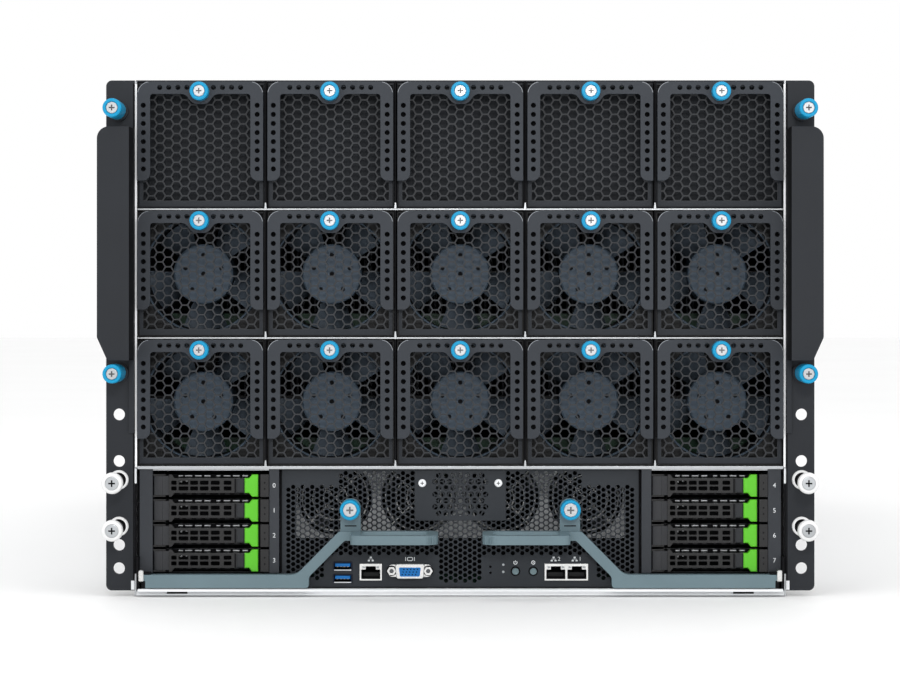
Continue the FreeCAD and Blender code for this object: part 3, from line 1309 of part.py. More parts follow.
# Rear panel: hexagon vents above, a row of slot covers below
rear_half = size("inner_width") / 2
rear_low = size("deck_top_z")
rear_high = size("cover_z")
border = size("rear_border")
slots_high = rear_low + size("slot_zone_height")
rear_wires = [rectangle(-rear_half, rear_low, rear_half, rear_high)]
rear_wires += hexagons(border - rear_half, slots_high + border / 2, rear_half - border, rear_high - border,
                       size("rear_hex_pitch"), size("rear_hex_web"))
slot_mid = (rear_low + slots_high) / 2
slot_count = int((2 * rear_half - 2 * border) / size("slot_pitch"))
slot_wide = size("slot_width") / 2
slot_tall = size("slot_height") / 2
slot_x = [(k - (slot_count - 1) / 2) * size("slot_pitch") for k in range(slot_count)]
for x in slot_x:
    rear_wires.append(rectangle(x - slot_wide, slot_mid - slot_tall, x + slot_wide, slot_mid + slot_tall))
rear_sheet = feature("rear_sheet", prism(rear_wires, size("rear_gauge")), ("0", "rear_panel_y", "0"))
slot_plates = []
for k, x in enumerate(slot_x):
    slot_plates.append(box(f"slot_plate_{k}", ("slot_width + 2 * slot_plate_lap", "slot_plate_gauge",
                                               "slot_height + 2 * slot_plate_lap"),
                           (f"({k - (slot_count - 1) / 2}) * slot_pitch - slot_width / 2 - slot_plate_lap",
                            "rear_panel_y - slot_plate_gauge",
                            "deck_top_z + slot_zone_height / 2 - slot_height / 2 - slot_plate_lap")))
PARTS["rear_panel"] = group("rear_panel", [rear_sheet] + slot_plates)

# Power supply drawn about its outer face: body with inlet recess, pull loop
psu_box = box("psu_box", ("psu_width", "psu_depth", "psu_height"), ("-psu_width / 2", "-psu_depth", "0"))
psu_recess = box("psu_recess", ("psu_inlet_width", "psu_inlet_depth + overrun", "psu_inlet_height"),
                 ("psu_middle_gap", "-psu_inlet_depth", "psu_height / 2 - psu_inlet_height / 2"))
loop_block = box("loop_block", ("psu_handle_width", "psu_handle_reach + overrun", "psu_handle_gauge"),
                 ("-psu_middle_gap - psu_handle_width", "-overrun", "psu_height / 2 - psu_handle_gauge / 2"))
loop_room = box("loop_room",
                ("psu_handle_width - 2 * psu_handle_gauge", "psu_handle_reach - psu_handle_gauge",
                 "psu_handle_gauge + 2 * overrun"),
                ("psu_handle_gauge - psu_middle_gap - psu_handle_width", "0",
                 "psu_height / 2 - psu_handle_gauge / 2 - overrun"))
psu = fuse("psu", cut("psu_case", psu_box, psu_recess), cut("psu_loop", loop_block, loop_room))
PARTS["power_supplies"] = group("power_supplies", [
    group(f"psu_{column}_{row}", [psu],
          (f"{column - (PSU_COLUMNS - 1) / 2} * psu_pitch", "rear_y",
           f"wall_gauge + psu_gap + {row} * (psu_room + psu_shelf_gauge)"))
    for column in range(PSU_COLUMNS) for row in range(2)])

doc.recompute()
for item in doc.Objects:
    if "Invalid" in item.State or "Error" in item.State:
        raise RuntimeError("not built: " + item.Label)
    if item.isDerivedFrom("Part::Feature") and not item.isDerivedFrom("Part::Compound"):
        if item.Shape.isNull() or not item.Shape.isValid():
            raise RuntimeError("no valid shape: " + item.Label)
os.makedirs("parts", exist_ok=True)
for node, item in PARTS.items():
    if item.Shape.isNull() or not item.Shape.Solids:
        raise RuntimeError("empty: " + node)
    item.Label = node
    item.Shape.exportStep(f"parts/{node}.step")
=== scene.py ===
import math
import bmesh
import bpy
import numpy as np
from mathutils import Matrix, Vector
from mathutils.geometry import delaunay_2d_cdt


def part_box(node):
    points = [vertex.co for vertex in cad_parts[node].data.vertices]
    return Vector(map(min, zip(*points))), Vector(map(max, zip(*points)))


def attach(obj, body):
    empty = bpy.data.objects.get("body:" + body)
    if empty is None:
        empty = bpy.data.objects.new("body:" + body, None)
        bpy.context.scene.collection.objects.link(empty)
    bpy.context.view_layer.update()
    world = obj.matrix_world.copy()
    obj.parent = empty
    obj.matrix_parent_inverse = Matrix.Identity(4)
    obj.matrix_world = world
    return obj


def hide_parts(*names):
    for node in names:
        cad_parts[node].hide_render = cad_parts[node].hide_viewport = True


# Looks of the rack server, laid over its CAD frame. Lengths are in millimetres until a mesh is placed.

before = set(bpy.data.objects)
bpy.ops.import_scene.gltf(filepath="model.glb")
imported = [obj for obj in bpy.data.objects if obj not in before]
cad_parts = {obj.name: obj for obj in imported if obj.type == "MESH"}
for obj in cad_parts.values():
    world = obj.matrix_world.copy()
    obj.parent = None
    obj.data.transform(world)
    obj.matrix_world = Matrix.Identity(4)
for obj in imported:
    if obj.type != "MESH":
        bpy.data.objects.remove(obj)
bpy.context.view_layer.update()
MM = 0.001
COLUMNS = 5
ROWS = ("lower", "upper", "blank")
FAN_ROWS = ROWS[:2]
DRIVES = 8
TRAY_FANS = 6
PSU_COLUMNS = 6
SIGNS = (-1, 1)
SIDES = (("left", -1), ("right", 1))
OPEN = (False, False)


def span(node):
    """Lowest and highest corner of a CAD node in millimetres."""
    low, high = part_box(node)
    return np.array(low) / MM, np.array(high) / MM


# Materials

def linear(red, green, blue):
    """Screen colour from 0 to 255 as the linear colour that shaders use."""
    parts = [c / 255 for c in (red, green, blue)]
    return tuple(c / 12.92 if c < 0.04045 else ((c + 0.055) / 1.055) ** 2.4 for c in parts)


def shade(colour, factor):
    return tuple(min(1.0, c * factor) for c in colour) + (1.0,)


def add_node(tree, kind, inputs=(), **settings):
    item = tree.nodes.new("ShaderNode" + kind)
    for name, value in settings.items():
        setattr(item, name, value)
    for key, value in inputs:
        if isinstance(value, bpy.types.NodeSocket):
            tree.links.new(value, item.inputs[key])
        else:
            item.inputs[key].default_value = value
    return item


def surface(name, colour, rough, metal=0.0, drift=0.12, patch=25.0, spangle=False, stretch=(1, 1, 1),
            grain=900.0, swing=0.06, bump=0.05, edge=0.0, worn=2.2, coat=0.0, spec=0.25):
    """Finish with slow colour drift, fine grain in gloss and relief, and edges worn lighter.

    patch and grain are features per metre, stretch draws them out for brushed metal, edge is the
    width of the worn edge in millimetres."""
    material = bpy.data.materials.new(name)
    material.use_nodes = True
    tree = material.node_tree
    shader = tree.nodes["Principled BSDF"]
    shader.inputs["Metallic"].default_value = metal
    shader.inputs["Coat Weight"].default_value = coat
    shader.inputs["Specular IOR Level"].default_value = spec
    place = add_node(tree, "TexCoord").outputs["Object"]
    drawn = add_node(tree, "Mapping", [("Vector", place), ("Scale", stretch)]).outputs["Vector"]
    if spangle:
        cells = add_node(tree, "TexVoronoi", [("Vector", place), ("Scale", patch)])
        slow = add_node(tree, "SeparateColor", [("Color", cells.outputs["Color"])]).outputs["Red"]
    else:
        slow = add_node(tree, "TexNoise", [("Vector", place), ("Scale", patch), ("Detail", 3.0)]).outputs["Fac"]
    fine = add_node(tree, "TexNoise", [("Vector", drawn), ("Scale", grain), ("Detail", 2.0)]).outputs["Fac"]
    ramp = add_node(tree, "ValToRGB", [("Fac", slow)])
    spread = (0.0, 1.0) if spangle else (0.3, 0.7)
    for element, position, factor in zip(ramp.color_ramp.elements, spread, (1 - drift, 1 + drift)):
        element.position = position
        element.color = shade(colour, factor)
    base = ramp.outputs["Color"]
    relief = add_node(tree, "Bump", [("Strength", bump), ("Distance", 0.0001), ("Height", fine)])
    if edge:
        soft = add_node(tree, "Bevel", [("Radius", edge * MM)], samples=4).outputs["Normal"]
        sharp = add_node(tree, "NewGeometry").outputs["Normal"]
        turn = add_node(tree, "VectorMath", [(0, soft), (1, sharp)], operation="DOT_PRODUCT").outputs["Value"]
        wear = add_node(tree, "MapRange", [("Value", turn), ("From Min", 0.99), ("From Max", 0.8),
                                           ("To Min", 0.0), ("To Max", 0.75)]).outputs["Result"]
        mix = add_node(tree, "Mix", [(0, wear), (6, base), (7, shade(colour, worn))], data_type="RGBA")
        base = mix.outputs[2]
        tree.links.new(soft, relief.inputs["Normal"])
    gloss = add_node(tree, "MapRange", [("Value", fine), ("From Min", 0.3), ("From Max", 0.7),
                                        ("To Min", rough - swing), ("To Max", rough + swing)])
    tree.links.new(base, shader.inputs["Base Color"])
    tree.links.new(gloss.outputs["Result"], shader.inputs["Roughness"])
    tree.links.new(relief.outputs["Normal"], shader.inputs["Normal"])
    return material


# Steel: zinc-coated sheet, painted sheet, bare edges, screws and sockets
ZINC = surface("zinc_sheet", (0.47, 0.485, 0.50), 0.38, metal=1.0, drift=0.07, patch=160, spangle=True,
               grain=600, bump=0.03, edge=0.4, worn=1.25)
COAT = surface("black_powder_coat", linear(30, 33, 38), 0.52, grain=1600, bump=0.25, drift=0.06, edge=0.5)
SLATE = surface("bracket_coat", linear(46, 50, 56), 0.50, grain=1600, bump=0.22, drift=0.06, edge=0.4)
PANEL = surface("panel_coat", linear(40, 44, 49), 0.52, grain=1600, bump=0.25, drift=0.06, edge=0.4)
MESH = surface("mesh_coat", linear(46, 48, 51), 0.50, grain=1600, bump=0.2, drift=0.08)
MESH_RIM = surface("mesh_rim_coat", linear(33, 37, 43), 0.50, grain=1600, bump=0.2, drift=0.08)
BLANK = surface("blank_plate_coat", linear(21, 25, 31), 0.60, grain=1500, bump=0.25)
CAM = surface("cam_lever_coat", linear(101, 120, 127), 0.42, grain=1300, bump=0.12, drift=0.05, edge=0.6,
              worn=1.3)
EDGE = surface("bare_steel_edge", linear(234, 236, 238), 0.45, drift=0.03)
# Two copies of the bare edge colour: a dimmer one as painted shade on the deck's edge, a brighter one as painted
# highlight on the side edges in the handles' shade
SHADED_EDGE = surface("painted_shade_steel_edge", linear(174, 177, 180), 0.5, drift=0.03)
LIT_EDGE = surface("painted_highlight_steel_edge", linear(250, 251, 252), 0.4, bump=0.03, drift=0.02)
# Lighter coat for thin bands on the brackets' rounded corners: a painted highlight
RIM_HIGHLIGHT = surface("painted_rim_highlight", linear(132, 136, 142), 0.35, grain=1500, bump=0.1, drift=0.05)
# Grey for the walls and floors of cross recesses and screw holes: painted shade in the recesses
RECESS_SHADE = surface("painted_recess_shade", linear(92, 94, 97), 0.5)
BRIGHT = surface("bright_steel", (0.44, 0.455, 0.47), 0.36, metal=1.0, stretch=(1, 0.1, 1), grain=1500, bump=0.08)
SUPPLY = surface("supply_case", (0.36, 0.37, 0.38), 0.40, metal=1.0, grain=700, patch=60, edge=0.4)
SOCKET = surface("socket_shell", (0.70, 0.70, 0.69), 0.30, metal=1.0, grain=1200, edge=0.2, worn=1.2)
FRAME_GREY = surface("small_fan_frame", linear(232, 234, 236), 0.5, grain=700, bump=0.06)
WIRE = surface("wire_guard", (0.90, 0.90, 0.90), 0.35, grain=500, bump=0.03)
SINK = surface("sink_aluminium", (0.62, 0.63, 0.65), 0.36, metal=1.0, stretch=(1, 0.03, 1))
FIN = surface("dark_fins", (0.10, 0.105, 0.11), 0.45, metal=1.0, stretch=(1, 0.03, 1))
GOLD = surface("contact_gold", (0.83, 0.60, 0.24), 0.25, metal=1.0, bump=0.03)

# Plastic, print, boards, rubber, deep black for dark joints and for painted shade in openings and gaps, and the studio
# floor
FAN_BLACK = surface("fan_frame_plastic", linear(20, 21, 23), 0.45, grain=700, bump=0.08)
HUB = surface("hub_plastic", linear(64, 77, 90), 0.42, grain=800, edge=0.5, worn=1.4)
BLADE = surface("blade_plastic", linear(76, 85, 95), 0.24, grain=500, bump=0.03, swing=0.04, spec=0.5)
KNOB = surface("blue_knob_plastic", linear(6, 141, 186), 0.36, grain=1200, bump=0.06, drift=0.05)
NYLON = surface("white_nylon", linear(226, 226, 226), 0.40, grain=700, drift=0.03)
BEZEL = surface("bezel_plastic", linear(27, 27, 28), 0.34, grain=1100, bump=0.10, edge=0.3, worn=1.8, spec=0.35)
# Lighter than the lever's plastic: a painted highlight on the rounded hinge end; the carrier trim uses it as painted
# shade on the lower sled edge
BEZEL_END = surface("bezel_end", linear(45, 46, 49), 0.36, grain=1100, bump=0.08, edge=0.3, worn=1.4)
BEZEL_GREY = surface("bezel_insert", linear(34, 36, 39), 0.36, grain=1100, bump=0.08, edge=0.3, worn=1.4)
POST = surface("post_plastic", linear(47, 50, 55), 0.46, grain=1200, bump=0.12, edge=0.4, worn=1.7)
LATCH = surface("green_latch_plastic", linear(86, 179, 36), 0.33, drift=0.05, edge=0.4, worn=1.15, coat=0.1)
PORT_BLUE = surface("port_blue_plastic", linear(12, 104, 174), 0.38)
NAVY = surface("usb_shell_navy", linear(9, 20, 46), 0.40)
LENS = surface("green_lens", linear(120, 190, 120), 0.2, bump=0.02, coat=0.4)
CLEAR = surface("unlit_lens", linear(165, 170, 173), 0.25, bump=0.02, coat=0.3)
BUTTON = surface("button_plastic", linear(104, 122, 127), 0.40)
WHITE = surface("white_print", linear(215, 218, 220), 0.6, drift=0.03)
BOARD = surface("circuit_board", linear(16, 60, 38), 0.35, patch=180, drift=0.25, grain=1500, bump=0.15)
CHIP = surface("chip_package", linear(26, 27, 29), 0.5, grain=1500, bump=0.1)
RUBBER = surface("black_rubber", linear(22, 22, 22), 0.75, grain=700, bump=0.2)
DARK = surface("deep_black", (0.004, 0.004, 0.005), 0.7, spec=0.1)
FLOOR = surface("studio_floor", (0.96, 0.96, 0.96), 0.6, drift=0.01, patch=2.0, grain=60, bump=0.02)


# Meshes made in code

def ring(x, z, radius, sides=12):
    """Points on a circle in the XZ plane."""
    angles = [2 * math.pi * k / sides for k in range(sides)]
    return [(x + radius * math.cos(a), z + radius * math.sin(a)) for a in angles]


def arc(x, z, radius, first, last, steps):
    """Points on a part of a circle, angles in degrees."""
    angles = [math.radians(first + (last - first) * k / steps) for k in range(steps + 1)]
    return [(x + radius * math.cos(a), z + radius * math.sin(a)) for a in angles]


def rectangle(x0, z0, x1, z1, radius=0.0, steps=4):
    """Corner points of a rectangle, its corners rounded."""
    if radius == 0:
        return [(x0, z0), (x1, z0), (x1, z1), (x0, z1)]
    points = []
    for k, (cx, cz) in enumerate(((x1 - radius, z1 - radius), (x0 + radius, z1 - radius),
                                  (x0 + radius, z0 + radius), (x1 - radius, z0 + radius))):
        points += arc(cx, cz, radius, 90 * k, 90 * k + 90, steps)
    return points


def inset(loop, depth):
    """Loop moved inward by a small depth, for chamfers; the loop runs counter-clockwise."""
    points = [Vector(p) for p in loop]
    moved = []
    for k, here in enumerate(points):
        before = (here - points[k - 1]).normalized()
        after = (points[(k + 1) % len(points)] - here).normalized()
        normal = Vector((-before.y - after.y, before.x + after.x))
        normal.normalize()
        reach = depth / max(0.3, normal.dot(Vector((-after.y, after.x))))
        moved.append(tuple(here + normal * reach))
    return moved


def loft(rings, count):
    """Faces between neighbouring rings, each a closed ring of count points."""
    faces = []
    for here in range(0, (rings - 1) * count, count):
        for k in range(count):
            after = (k + 1) % count
            faces.append((here + k, here + after, here + count + after, here + count + k))
    return faces


def heading(path, k, closed=False):
    """Direction of a path at one of its points."""
    count = len(path)
    last = path[k - 1] if closed or k else path[k]
    following = path[(k + 1) % count] if closed or k + 1 < count else path[k]
    return Vector((following[0] - last[0], following[1] - last[1])).normalized()


class Shape:
    """Faces gathered into one mesh, each face with the number of its material."""

    def __init__(self):
        self.points = []
        self.faces = []
        self.marks = []

    def add(self, points, faces, mark=0):
        base = len(self.points)
        self.points += points
        self.faces += [tuple(base + k for k in face) for face in faces]
        self.marks += [mark] * len(faces)

    def lay(self, order):
        """Swap axes of all points gathered so far."""
        self.points = [tuple(p[k] for k in order) for p in self.points]

    def slab(self, low, high, mark=0, bevel=0.0):
        """Box with chamfered edges."""
        ends = (low, high)
        points = []
        for corner in range(8):
            bits = [corner >> k & 1 for k in range(3)]
            for axis in range(3):
                points.append(tuple(ends[bit][k] + (0 if k == axis else bevel * (1 - 2 * bit))
                                    for k, bit in enumerate(bits)))
        faces = []
        for axis in range(3):
            one, two = [k for k in range(3) if k != axis]
            far, right, up = 1 << axis, 1 << one, 1 << two
            for side in (0, far):
                faces.append(tuple(3 * (side + c) + axis for c in (0, right, right + up, up)))
            if bevel:
                for c in (0, up, right, right + up):
                    faces.append((3 * c + one, 3 * (c + far) + one, 3 * (c + far) + two, 3 * c + two))
        if bevel:
            faces += [(3 * c, 3 * c + 1, 3 * c + 2) for c in range(8)]
        self.add(points, faces, mark)

    def twins(self, low, high, mark=0, bevel=0.0, middle=0.0):
        """Slab and its mirror image, low and high seen from x = middle."""
        for sign in SIGNS:
            left, right = sorted((middle + sign * low[0], middle + sign * high[0]))
            self.slab((left, *low[1:]), (right, *high[1:]), mark, bevel)

    def lathe(self, rows, at, mark=0, sides=32, axis=1, closed=(True, True)):
        """Turned shape; rows are (radius, place along the axis) and a depth of knurling where there is some."""
        one, two = [k for k in range(3) if k != axis]
        points = []
        for radius, along, *knurl in rows:
            for k in range(sides):
                angle = 2 * math.pi * k / sides
                reach = radius - sum(knurl) * (k % 2)
                point = [0, 0, 0]
                point[axis] = at[axis] + along
                point[one] = at[one] + reach * math.cos(angle)
                point[two] = at[two] + reach * math.sin(angle)
                points.append(tuple(point))
        faces = loft(len(rows), sides)
        if closed[0]:
            faces.append(tuple(range(sides)))
        if closed[1]:
            faces.append(tuple(len(points) - sides + k for k in range(sides)))
        self.add(points, faces, mark)

    def plate(self, loop, front, back, mark=0, chamfer=0.0):
        """Outline in the XZ plane drawn out along Y, its front edge chamfered."""
        rings = [(loop, front), (loop, back)]
        if chamfer:
            rings = [(inset(loop, chamfer), front), (loop, front + chamfer), (loop, back)]
        count = len(loop)
        points = [(x, y, z) for line, y in rings for x, z in line]
        ends = [tuple(range(count)), tuple(len(points) - count + k for k in range(count))]
        self.add(points, ends + loft(len(rings), count), mark)

    def sheet(self, outer, holes, front, back, mark=0):
        """Plate in the XZ plane with openings, each opening a convex loop."""
        flat = []
        owner = []
        edges = []
        for number, loop in enumerate([outer] + holes):
            base = len(flat)
            flat += [Vector(p) for p in loop]
            owner += [number] * len(loop)
            edges += [(base + k, base + (k + 1) % len(loop)) for k in range(len(loop))]
        made = delaunay_2d_cdt(flat, edges, [], 1, 1e-5)
        source = [old[0] for old in made[3]]
        triangles = []
        for face in made[2]:
            names = [source[k] for k in face]
            owners = {owner[k] for k in names}
            if len(owners) > 1 or owners == {0}:
                triangles.append(tuple(names))
        count = len(flat)
        points = [(p.x, front, p.y) for p in flat] + [(p.x, back, p.y) for p in flat]
        faces = triangles + [tuple(count + k for k in reversed(face)) for face in triangles]
        faces += [(a, count + a, count + b, b) for a, b in edges]
        self.add(points, faces, mark)

    def ribbon(self, path, half, y, mark=0):
        """Flat band along a path in the XZ plane."""
        points = []
        for k, (x, z) in enumerate(path):
            along = heading(path, k) * half
            points += [(x - along.y, y, z + along.x), (x + along.y, y, z - along.x)]
        self.add(points, [(k, k + 1, k + 3, k + 2) for k in range(0, 2 * len(path) - 2, 2)], mark)

    def wire(self, path, radius, y, closed, sides=6):
        """Round wire along a path in the XZ plane."""
        points = []
        for k, (x, z) in enumerate(path):
            along = heading(path, k, closed) * radius
            for s in range(sides):
                turn = 2 * math.pi * s / sides
                across, out = math.cos(turn), radius * math.sin(turn)
                points.append((x - along.y * across, y + out, z + along.x * across))
        if closed:
            points += points[:sides]
        self.add(points, loft(len(points) // sides, sides))

    def cross_head(self, x, z, front, radius, depth, mark=0, dark=1):
        """Screw head's front face with a cross recess, sunk by depth along Y; the recess walls and floor take a darker
        finish as painted shade.
        """
        half = radius * 0.13
        arm = radius * 0.56
        turn = math.degrees(math.asin(half / radius))
        low = front + depth
        corner = [(half, half), (arm, half)] + arc(0, 0, radius, turn, 90 - turn, 6) + [(half, arm)]
        tip = [(arm, -half)] + arc(0, 0, radius, -turn, turn, 2) + [(arm, half)]
        for cos, sin in ((1, 0), (0, 1), (-1, 0), (0, -1)):
            def spots(pairs, y=front):
                return [(x + cos * u - sin * v, y, z + sin * u + cos * v) for u, v in pairs]

            for loop in (corner, tip):
                self.add(spots(loop), [tuple(range(len(loop)))], mark)
            slot = [(half, half), (arm, half), (arm, -half), (half, -half)]
            self.add(spots(slot) + spots(slot, low), [(0, 1, 5, 4), (1, 2, 6, 5), (2, 3, 7, 6), (4, 5, 6, 7)], dark)
        middle = [(x + half * a, low, z + half * b) for a, b in ((1, 1), (-1, 1), (-1, -1), (1, -1))]
        self.add(middle, [(0, 1, 2, 3)], dark)

    def screw(self, x, z, seat, rise, radius, mark=0, dark=1):
        """Pan-head screw on a face at y = seat; rise below zero stands out towards -Y."""
        self.lathe([(radius, -0.1 * rise), (radius, 0.5 * rise), (0.8 * radius, rise)], (x, seat, z),
                   mark, 20, closed=OPEN)
        self.cross_head(x, z, seat + rise, 0.8 * radius, -0.7 * rise, mark, dark)

    def mesh(self, name, materials, smooth=35):
        data = bpy.data.meshes.new(name)
        data.from_pydata([tuple(c * MM for c in p) for p in self.points], [], self.faces)
        for material in materials:
            data.materials.append(material)
        data.polygons.foreach_set("material_index", self.marks)
        work = bmesh.new()
        work.from_mesh(data)
        bmesh.ops.remove_doubles(work, verts=work.verts, dist=1e-7)
        bmesh.ops.recalc_face_normals(work, faces=work.faces)
        work.to_mesh(data)
        work.free()
        data.polygons.foreach_set("use_smooth", [True] * len(data.polygons))
        data.set_sharp_from_angle(angle=math.radians(smooth))
        return data

    def piece(self, name, materials, body, slot, stands_for=(), smooth=35):
        """Piece of this shape alone, where it was drawn."""
        put(name, self.mesh(name, materials, smooth), body, stands_for=stands_for)


def link(name, data):
    """New object in the scene."""
    item = bpy.data.objects.new(name, data)
    bpy.context.scene.collection.objects.link(item)
    return item


def put(name, mesh, body, at=(0, 0, 0), stands_for=()):
    """Piece placed in the frame, riding on a body."""
    piece = link(name, mesh)
    piece.location = [c * MM for c in at]
    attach(piece, body)
    if stands_for:
        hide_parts(*stands_for)
    return piece


def paint(node, base, rules=lambda x, y, z: ()):
    """Base finish of a CAD node, and other finishes for the faces that its rules pick by their middle."""
    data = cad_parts[node].data
    data.materials.clear()
    data.materials.append(base)
    middle = np.empty(3 * len(data.polygons), np.float32)
    data.polygons.foreach_get("center", middle)
    x, y, z = middle.reshape(-1, 3).T / MM
    marks = np.zeros(len(data.polygons), np.int32)
    for number, (material, picked) in enumerate(rules(x, y, z), 1):
        data.materials.append(material)
        marks[picked] = number
    data.polygons.foreach_set("material_index", marks)


# Places read from the frame, and sizes of the CAD pieces that the dressing fits on

module_low, module_high = span("fan_module_lower_3")
module_tall = module_high[2] - module_low[2]
row_pitch = span("fan_module_upper_3")[0][2] - module_low[2]
column_pitch = span("fan_module_lower_4")[0][0] - module_low[0]
columns = [(k - (COLUMNS - 1) / 2) * column_pitch for k in range(COLUMNS)]
divider_x = [(k - COLUMNS / 2) * column_pitch for k in range(1, COLUMNS)]
CAP_LENGTH = 9.0
CAP_RADIUS = 6.2
CORE_RADIUS = 3.8
SCREW_DROP = 7.0
BRACKET_TO_BODY = 9.2
MESH_GAUGE = 1.2
bracket_y = module_low[1] + CAP_LENGTH
body_y = bracket_y + BRACKET_TO_BODY
mesh_y = body_y - MESH_GAUGE
module_screw_z = module_high[2] - SCREW_DROP
fan_z = (module_low[2] + module_high[2]) / 2
hub_y = span("fan_rotor_lower_3")[0][1]
HUB_RADIUS = 20.5
thumb_low, thumb_high = span("ear_thumbscrews")
FERRULE_RADIUS = 6.6
FERRULE_LENGTH = 2.5
EAR_CAP_LENGTH = 25.0
hole_x = thumb_high[0] - FERRULE_RADIUS
thumb_z = (thumb_low[2] + FERRULE_RADIUS, thumb_high[2] - FERRULE_RADIUS)
rack_low, rack_high = span("rack_screws")
RACK_HEAD_RADIUS = 7.2
RACK_HEAD_LENGTH = 5.0
rack_z = (rack_low[2] + RACK_HEAD_RADIUS, rack_high[2] - RACK_HEAD_RADIUS)
cage_low, cage_high = span("fan_cage")
shell_low, shell_high = span("chassis_shell")
cover_low, cover_high = span("top_cover")
tray_low, tray_high = span("tray_pan")
PANEL_GAUGE = 1.2
panel_low, panel_high = span("tray_front_panel")
panel_back = panel_high[1]
panel_y = panel_back - PANEL_GAUGE
front_y = shell_low[1] - 1.0
ear_face = front_y
PORT_PROUD = 0.8
nose_y = panel_y - PORT_PROUD
CAM_SCREW = (74.7, 59.4)
CAM_CAP_BACK = front_y - 1.0
CAM_CAP_RADIUS = 6.7
CAM_CAP_LENGTH = 12.0
CAM_CORE_RADIUS = 4.6
GRIP_Z = (38.0, 44.2)
cam_low = span("cam_lever_right")[0]
drives_low, drives_high = span("drive_cages")
board_low = span("motherboard")[0]

# Places of the sockets, buttons and lamps on the tray's front panel
USB_X = -80.4
USB_Z = (11.2, 19.6)
USB_SIZE = (12.8, 5.8)
JACK_Z = 15.6
JACK_HEIGHT = 11.4
JACKS = (-61.2, 65.3, 79.7)
VIDEO = (-34.4, 16.6)
POWER = (37.7, 16.2)
IDENT = (49.9, 16.2)
LAMPS = ((29.4, 15.7), (29.4, 20.6))
PINHOLES = ((20.6, 15.1), (20.6, 19.2))


def put_on_modules(name, mesh, y, z, rows=ROWS, body="fan_module"):
    """The same mesh at every column of the rows, z being its height in the lowest row."""
    for row, row_name in enumerate(rows):
        for k, x_mid in enumerate(columns):
            label = f"{row_name}_{k + 1}"
            put(f"{name}_{label}", mesh, "chassis" if row_name == "blank" else f"{body}_{label}",
                (x_mid, y, z + row * row_pitch))


# Finishes of the CAD nodes that stay

CAP_REACH = 8
CORE_REACH = 4.35
SHANK_REACH = 2.6


def paint_module(node, middles, level, back_finish):
    """Bracket, mesh, box behind the mesh and thumbscrew of one module or of a row of them."""
    def rules(x, y, z):
        reach = np.min([np.hypot(x - middle, z - level) for middle in middles], axis=0)
        proud = y < bracket_y - 0.05
        return [(MESH, (y > mesh_y - 0.05) & (y < body_y - 0.01)),
                (back_finish, y >= body_y - 0.01),
                (KNOB, proud & (reach > CORE_REACH) & (reach <= CAP_REACH)),
                (BRIGHT, proud & (reach <= CORE_REACH)),
                (BRIGHT, (reach <= SHANK_REACH) & (y < body_y - 1.5))]

    paint(node, SLATE, rules)


for row, row_name in enumerate(FAN_ROWS):
    for k, x_mid in enumerate(columns):
        name = f"{row_name}_{k + 1}"
        paint_module("fan_module_" + name, [x_mid], module_screw_z + row * row_pitch, FAN_BLACK)
        axis_z = fan_z + row * row_pitch
        paint("fan_rotor_" + name, BLADE,
              lambda x, y, z: [(HUB, np.hypot(x - x_mid, z - axis_z) < HUB_RADIUS + 0.2)])
paint_module("fan_blanks", columns, module_screw_z + 2 * row_pitch, BLANK)
# The dividers between modules are painted deep black: painted shade in the gaps between modules
paint("fan_cage", ZINC, lambda x, y, z: [(DARK, np.min([abs(x - d) for d in divider_x], axis=0) < 1.2),
                                         (BOARD, y > cage_high[1] - 2.1)])
# The pan's front edges above its floor are painted deep black: painted shade
paint("tray_pan", ZINC, lambda x, y, z: [(DARK, (y < front_y + 5.1) & (z > 6))])
for side, sign in SIDES:
    def cam_rules(x, y, z):
        reach = np.hypot(x - sign * CAM_SCREW[0], z - CAM_SCREW[1])
        return [(KNOB, (reach < CAM_CAP_RADIUS + 0.1) & (y < CAM_CAP_BACK - 0.05)),
                (BRIGHT, reach < CAM_CORE_RADIUS + 0.05)]

    # The inner wall of each handle is painted deep black: painted shade between handle and chassis
    paint("rack_ear_" + side, COAT, lambda x, y, z: [(DARK, (abs(x) < shell_high[0] + 0.5) & (y < front_y - 1))])
    paint("cam_lever_" + side, CAM, cam_rules)
SLED_PLATE = 9.6
for k in range(DRIVES):
    face_y = span(f"drive_carrier_{k}")[0][1]
    # The sled plate behind the lever's slots is painted deep black: painted shade seen through the slots
    paint(f"drive_carrier_{k}", BEZEL, lambda x, y, z: [(DARK, abs(y - face_y - SLED_PLATE) < 0.2),
                                                        (SUPPLY, y > face_y + SLED_PLATE + 2.0)])
    paint(f"drive_lever_{k}", BEZEL)
paint("motherboard", BOARD, lambda x, y, z: [(CHIP, z > board_low[2] + 9.0)])
paint("power_supplies", SUPPLY, lambda x, y, z: [(RUBBER, y > shell_high[1] + 0.1)])
IO_BOARD_TOP = 7.8
# The insides of the socket openings are painted deep black: dark plastic and painted shade in the openings
paint("io_connectors", SOCKET, lambda x, y, z: [
    (PANEL, (abs(x - VIDEO[0]) < 15.7) & (abs(z - VIDEO[1]) < 5.3) & (y < panel_y + 0.1)),
    (NAVY, (abs(x - USB_X) < 6.7) & (y < panel_y + 0.2)),
    (DARK, (y > nose_y + 0.3) & (y < panel_y + 21)),
    (BOARD, z < IO_BOARD_TOP)])
for finish, nodes in ((ZINC, ("chassis_shell", "inner_deck", "rear_panel", "top_cover")), (KNOB, ("ear_thumbscrews",)),
                      (NYLON, ("rack_screws",)), (POST, ("drive_cages",)), (DARK, ("tray_fans",)),
                      (BOARD, ("gpu_baseboard",)), (SINK, ("cpu_heatsinks",)), (FIN, ("gpu_heatsinks",)),
                      (BUTTON, ("power_button", "ident_button")), (PANEL, ("tray_front_panel",))):
    for node in nodes:
        paint(node, finish)


# Knurled thumbscrews with a cross-recessed metal core

